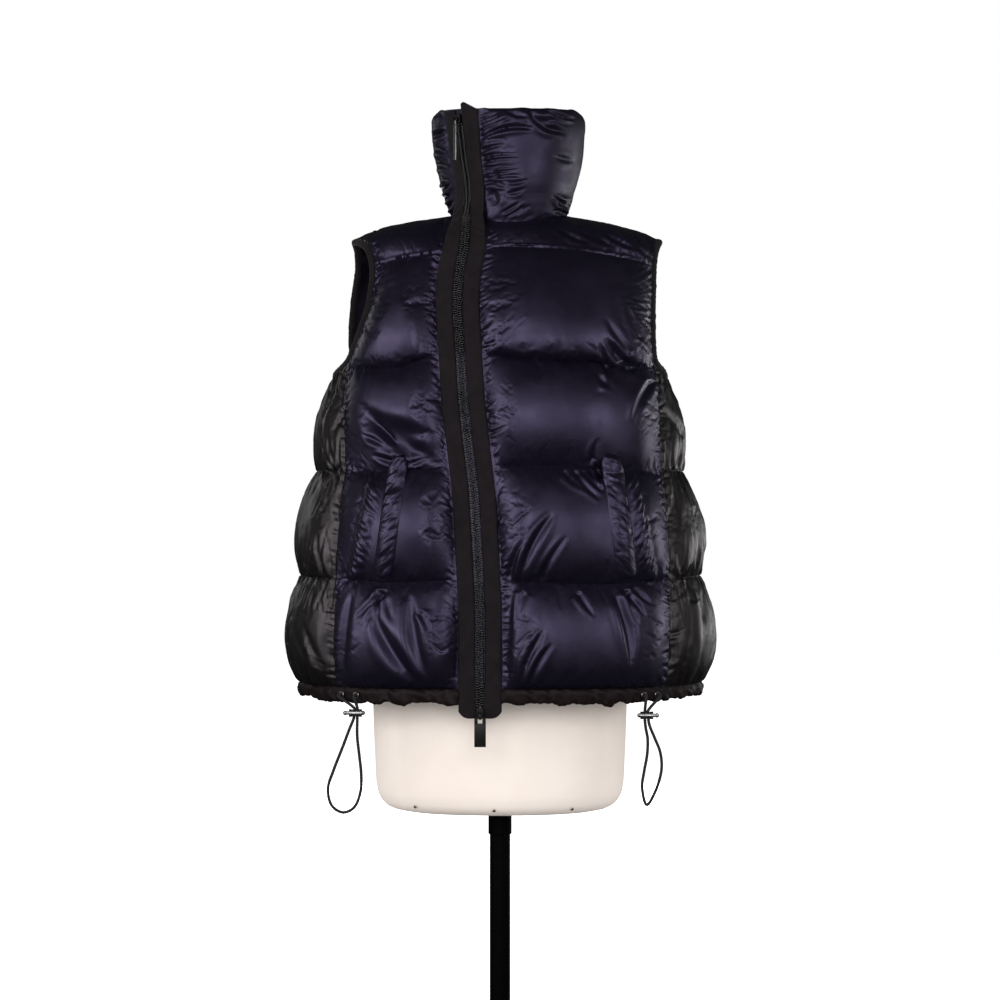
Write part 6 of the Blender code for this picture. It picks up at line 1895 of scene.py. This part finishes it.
form_body()
turned("socket_cup", ((0.0125, SOCKET_Z[1]), (SOCKET_R - 0.0008, SOCKET_Z[1]), (SOCKET_R, SOCKET_Z[1] - 0.0008), (SOCKET_R, SOCKET_Z[0] + 0.0012), (SOCKET_R - 0.0012, SOCKET_Z[0]), (0.0125, SOCKET_Z[0])), MAT["stand"], "pole_socket")
turned("pole_tube", ((0.010, POLE_Z[1]), (POLE_R, POLE_Z[1]), (POLE_R, 0.30 * POLE_Z[1]), (POLE_R, POLE_Z[0]), (0.010, POLE_Z[0])), MAT["stand"], "stand_pole")
turned("base_disc", ((0.02, BASE_H), (BASE_R - 0.008, BASE_H), (BASE_R - 0.0045, BASE_H - 0.0006), (BASE_R - 0.0018, BASE_H - 0.0022), (BASE_R, BASE_H - 0.005), (BASE_R, 0.0006), (BASE_R - 0.0006, 0.0), (0.02, 0.0)), MAT["stand"], "stand_base", 128)
for tack_name in ("left", "centre", "right"):
    node = nodes["form_tack_" + tack_name]
    node.data.materials.clear()
    node.data.materials.append(MAT["tack"])

# ------------------------------------------------------------------ studio
floor_me = bpy.data.meshes.new("floor")
floor_bm = bmesh.new()
bmesh.ops.create_circle(floor_bm, cap_ends=True, segments=96, radius=9.0)
floor_bm.to_mesh(floor_me)
floor_bm.free()
floor = bpy.data.objects.new("floor", floor_me)
floor.location = (0, 0, -0.0005)
SCENE.collection.objects.link(floor)
floor_mat, floor_tree, floor_p = principled("pale_floor", (0.90, 0.90, 0.90), 0.9, Specular_IOR_Level=0.1)
floor_p.inputs["Emission Color"].default_value = (1, 1, 1, 1)
floor_p.inputs["Emission Strength"].default_value = 0.85
floor_me.materials.append(floor_mat)
floor.visible_diffuse = floor.visible_glossy = False


def softbox(name, at, look, size, power, color=(1, 1, 1)):
    light = bpy.data.lights.new(name, "AREA")
    light.shape = "RECTANGLE"
    light.size, light.size_y = size
    light.energy = power
    light.color = color
    ob = bpy.data.objects.new(name, light)
    ob.location = at
    ob.rotation_euler = (Vector(look) - Vector(at)).to_track_quat("-Z", "Y").to_euler()
    SCENE.collection.objects.link(ob)
    return ob


softbox("front_box", (-0.30, -3.4, 1.36), (0, 0, 0.80), (2.4, 1.30), 46.0)
softbox("front_left_box", (-2.62, -1.85, 1.25), (0, 0, 0.80), (2.2, 1.10), 42.0)
softbox("front_right_box", (2.4, -2.3, 1.30), (0, 0, 0.80), (1.5, 1.00), 24.0)
softbox("right_box", (2.7, 0.7, 0.75), (0, 0, 0.70), (0.6, 0.50), 8.0)
softbox("left_box", (-2.7, 0.6, 0.75), (0, 0, 0.75), (0.5, 0.8), 0.3)
softbox("back_box", (0.0, 3.3, 0.50), (0, 0, 0.75), (1.8, 0.8), 26.0)
softbox("back_left_box", (-2.5, 2.4, 1.55), (0, 0, 0.80), (0.9, 1.0), 5.0)
softbox("back_right_box", (2.5, 2.4, 0.62), (0, 0, 0.70), (0.9, 0.9), 10.0)

world = bpy.data.worlds.new("studio")
SCENE.world = world
world.use_nodes = True
wt = world.node_tree
wt.nodes.clear()
out_node = wt.nodes.new("ShaderNodeOutputWorld")
path = wt.nodes.new("ShaderNodeLightPath")
seen, fill, gloss = (wt.nodes.new("ShaderNodeBackground") for _ in range(3))
seen.inputs["Color"].default_value = (1, 1, 1, 1)
seen.inputs["Strength"].default_value = 1.0
fill.inputs["Color"].default_value = (1, 1, 1, 1)
fill.inputs["Strength"].default_value = 0.60
gloss.inputs["Color"].default_value = (1, 1, 1, 1)
gloss.inputs["Strength"].default_value = 0.035
mix_a, mix_b = wt.nodes.new("ShaderNodeMixShader"), wt.nodes.new("ShaderNodeMixShader")
wt.links.new(path.outputs["Is Glossy Ray"], mix_a.inputs[0])
wt.links.new(fill.outputs[0], mix_a.inputs[1])
wt.links.new(gloss.outputs[0], mix_a.inputs[2])
wt.links.new(path.outputs["Is Camera Ray"], mix_b.inputs[0])
wt.links.new(mix_a.outputs[0], mix_b.inputs[1])
wt.links.new(seen.outputs[0], mix_b.inputs[2])
wt.links.new(mix_b.outputs[0], out_node.inputs["Surface"])

SCENE.view_settings.view_transform = "Standard"
SCENE.view_settings.look = "None"
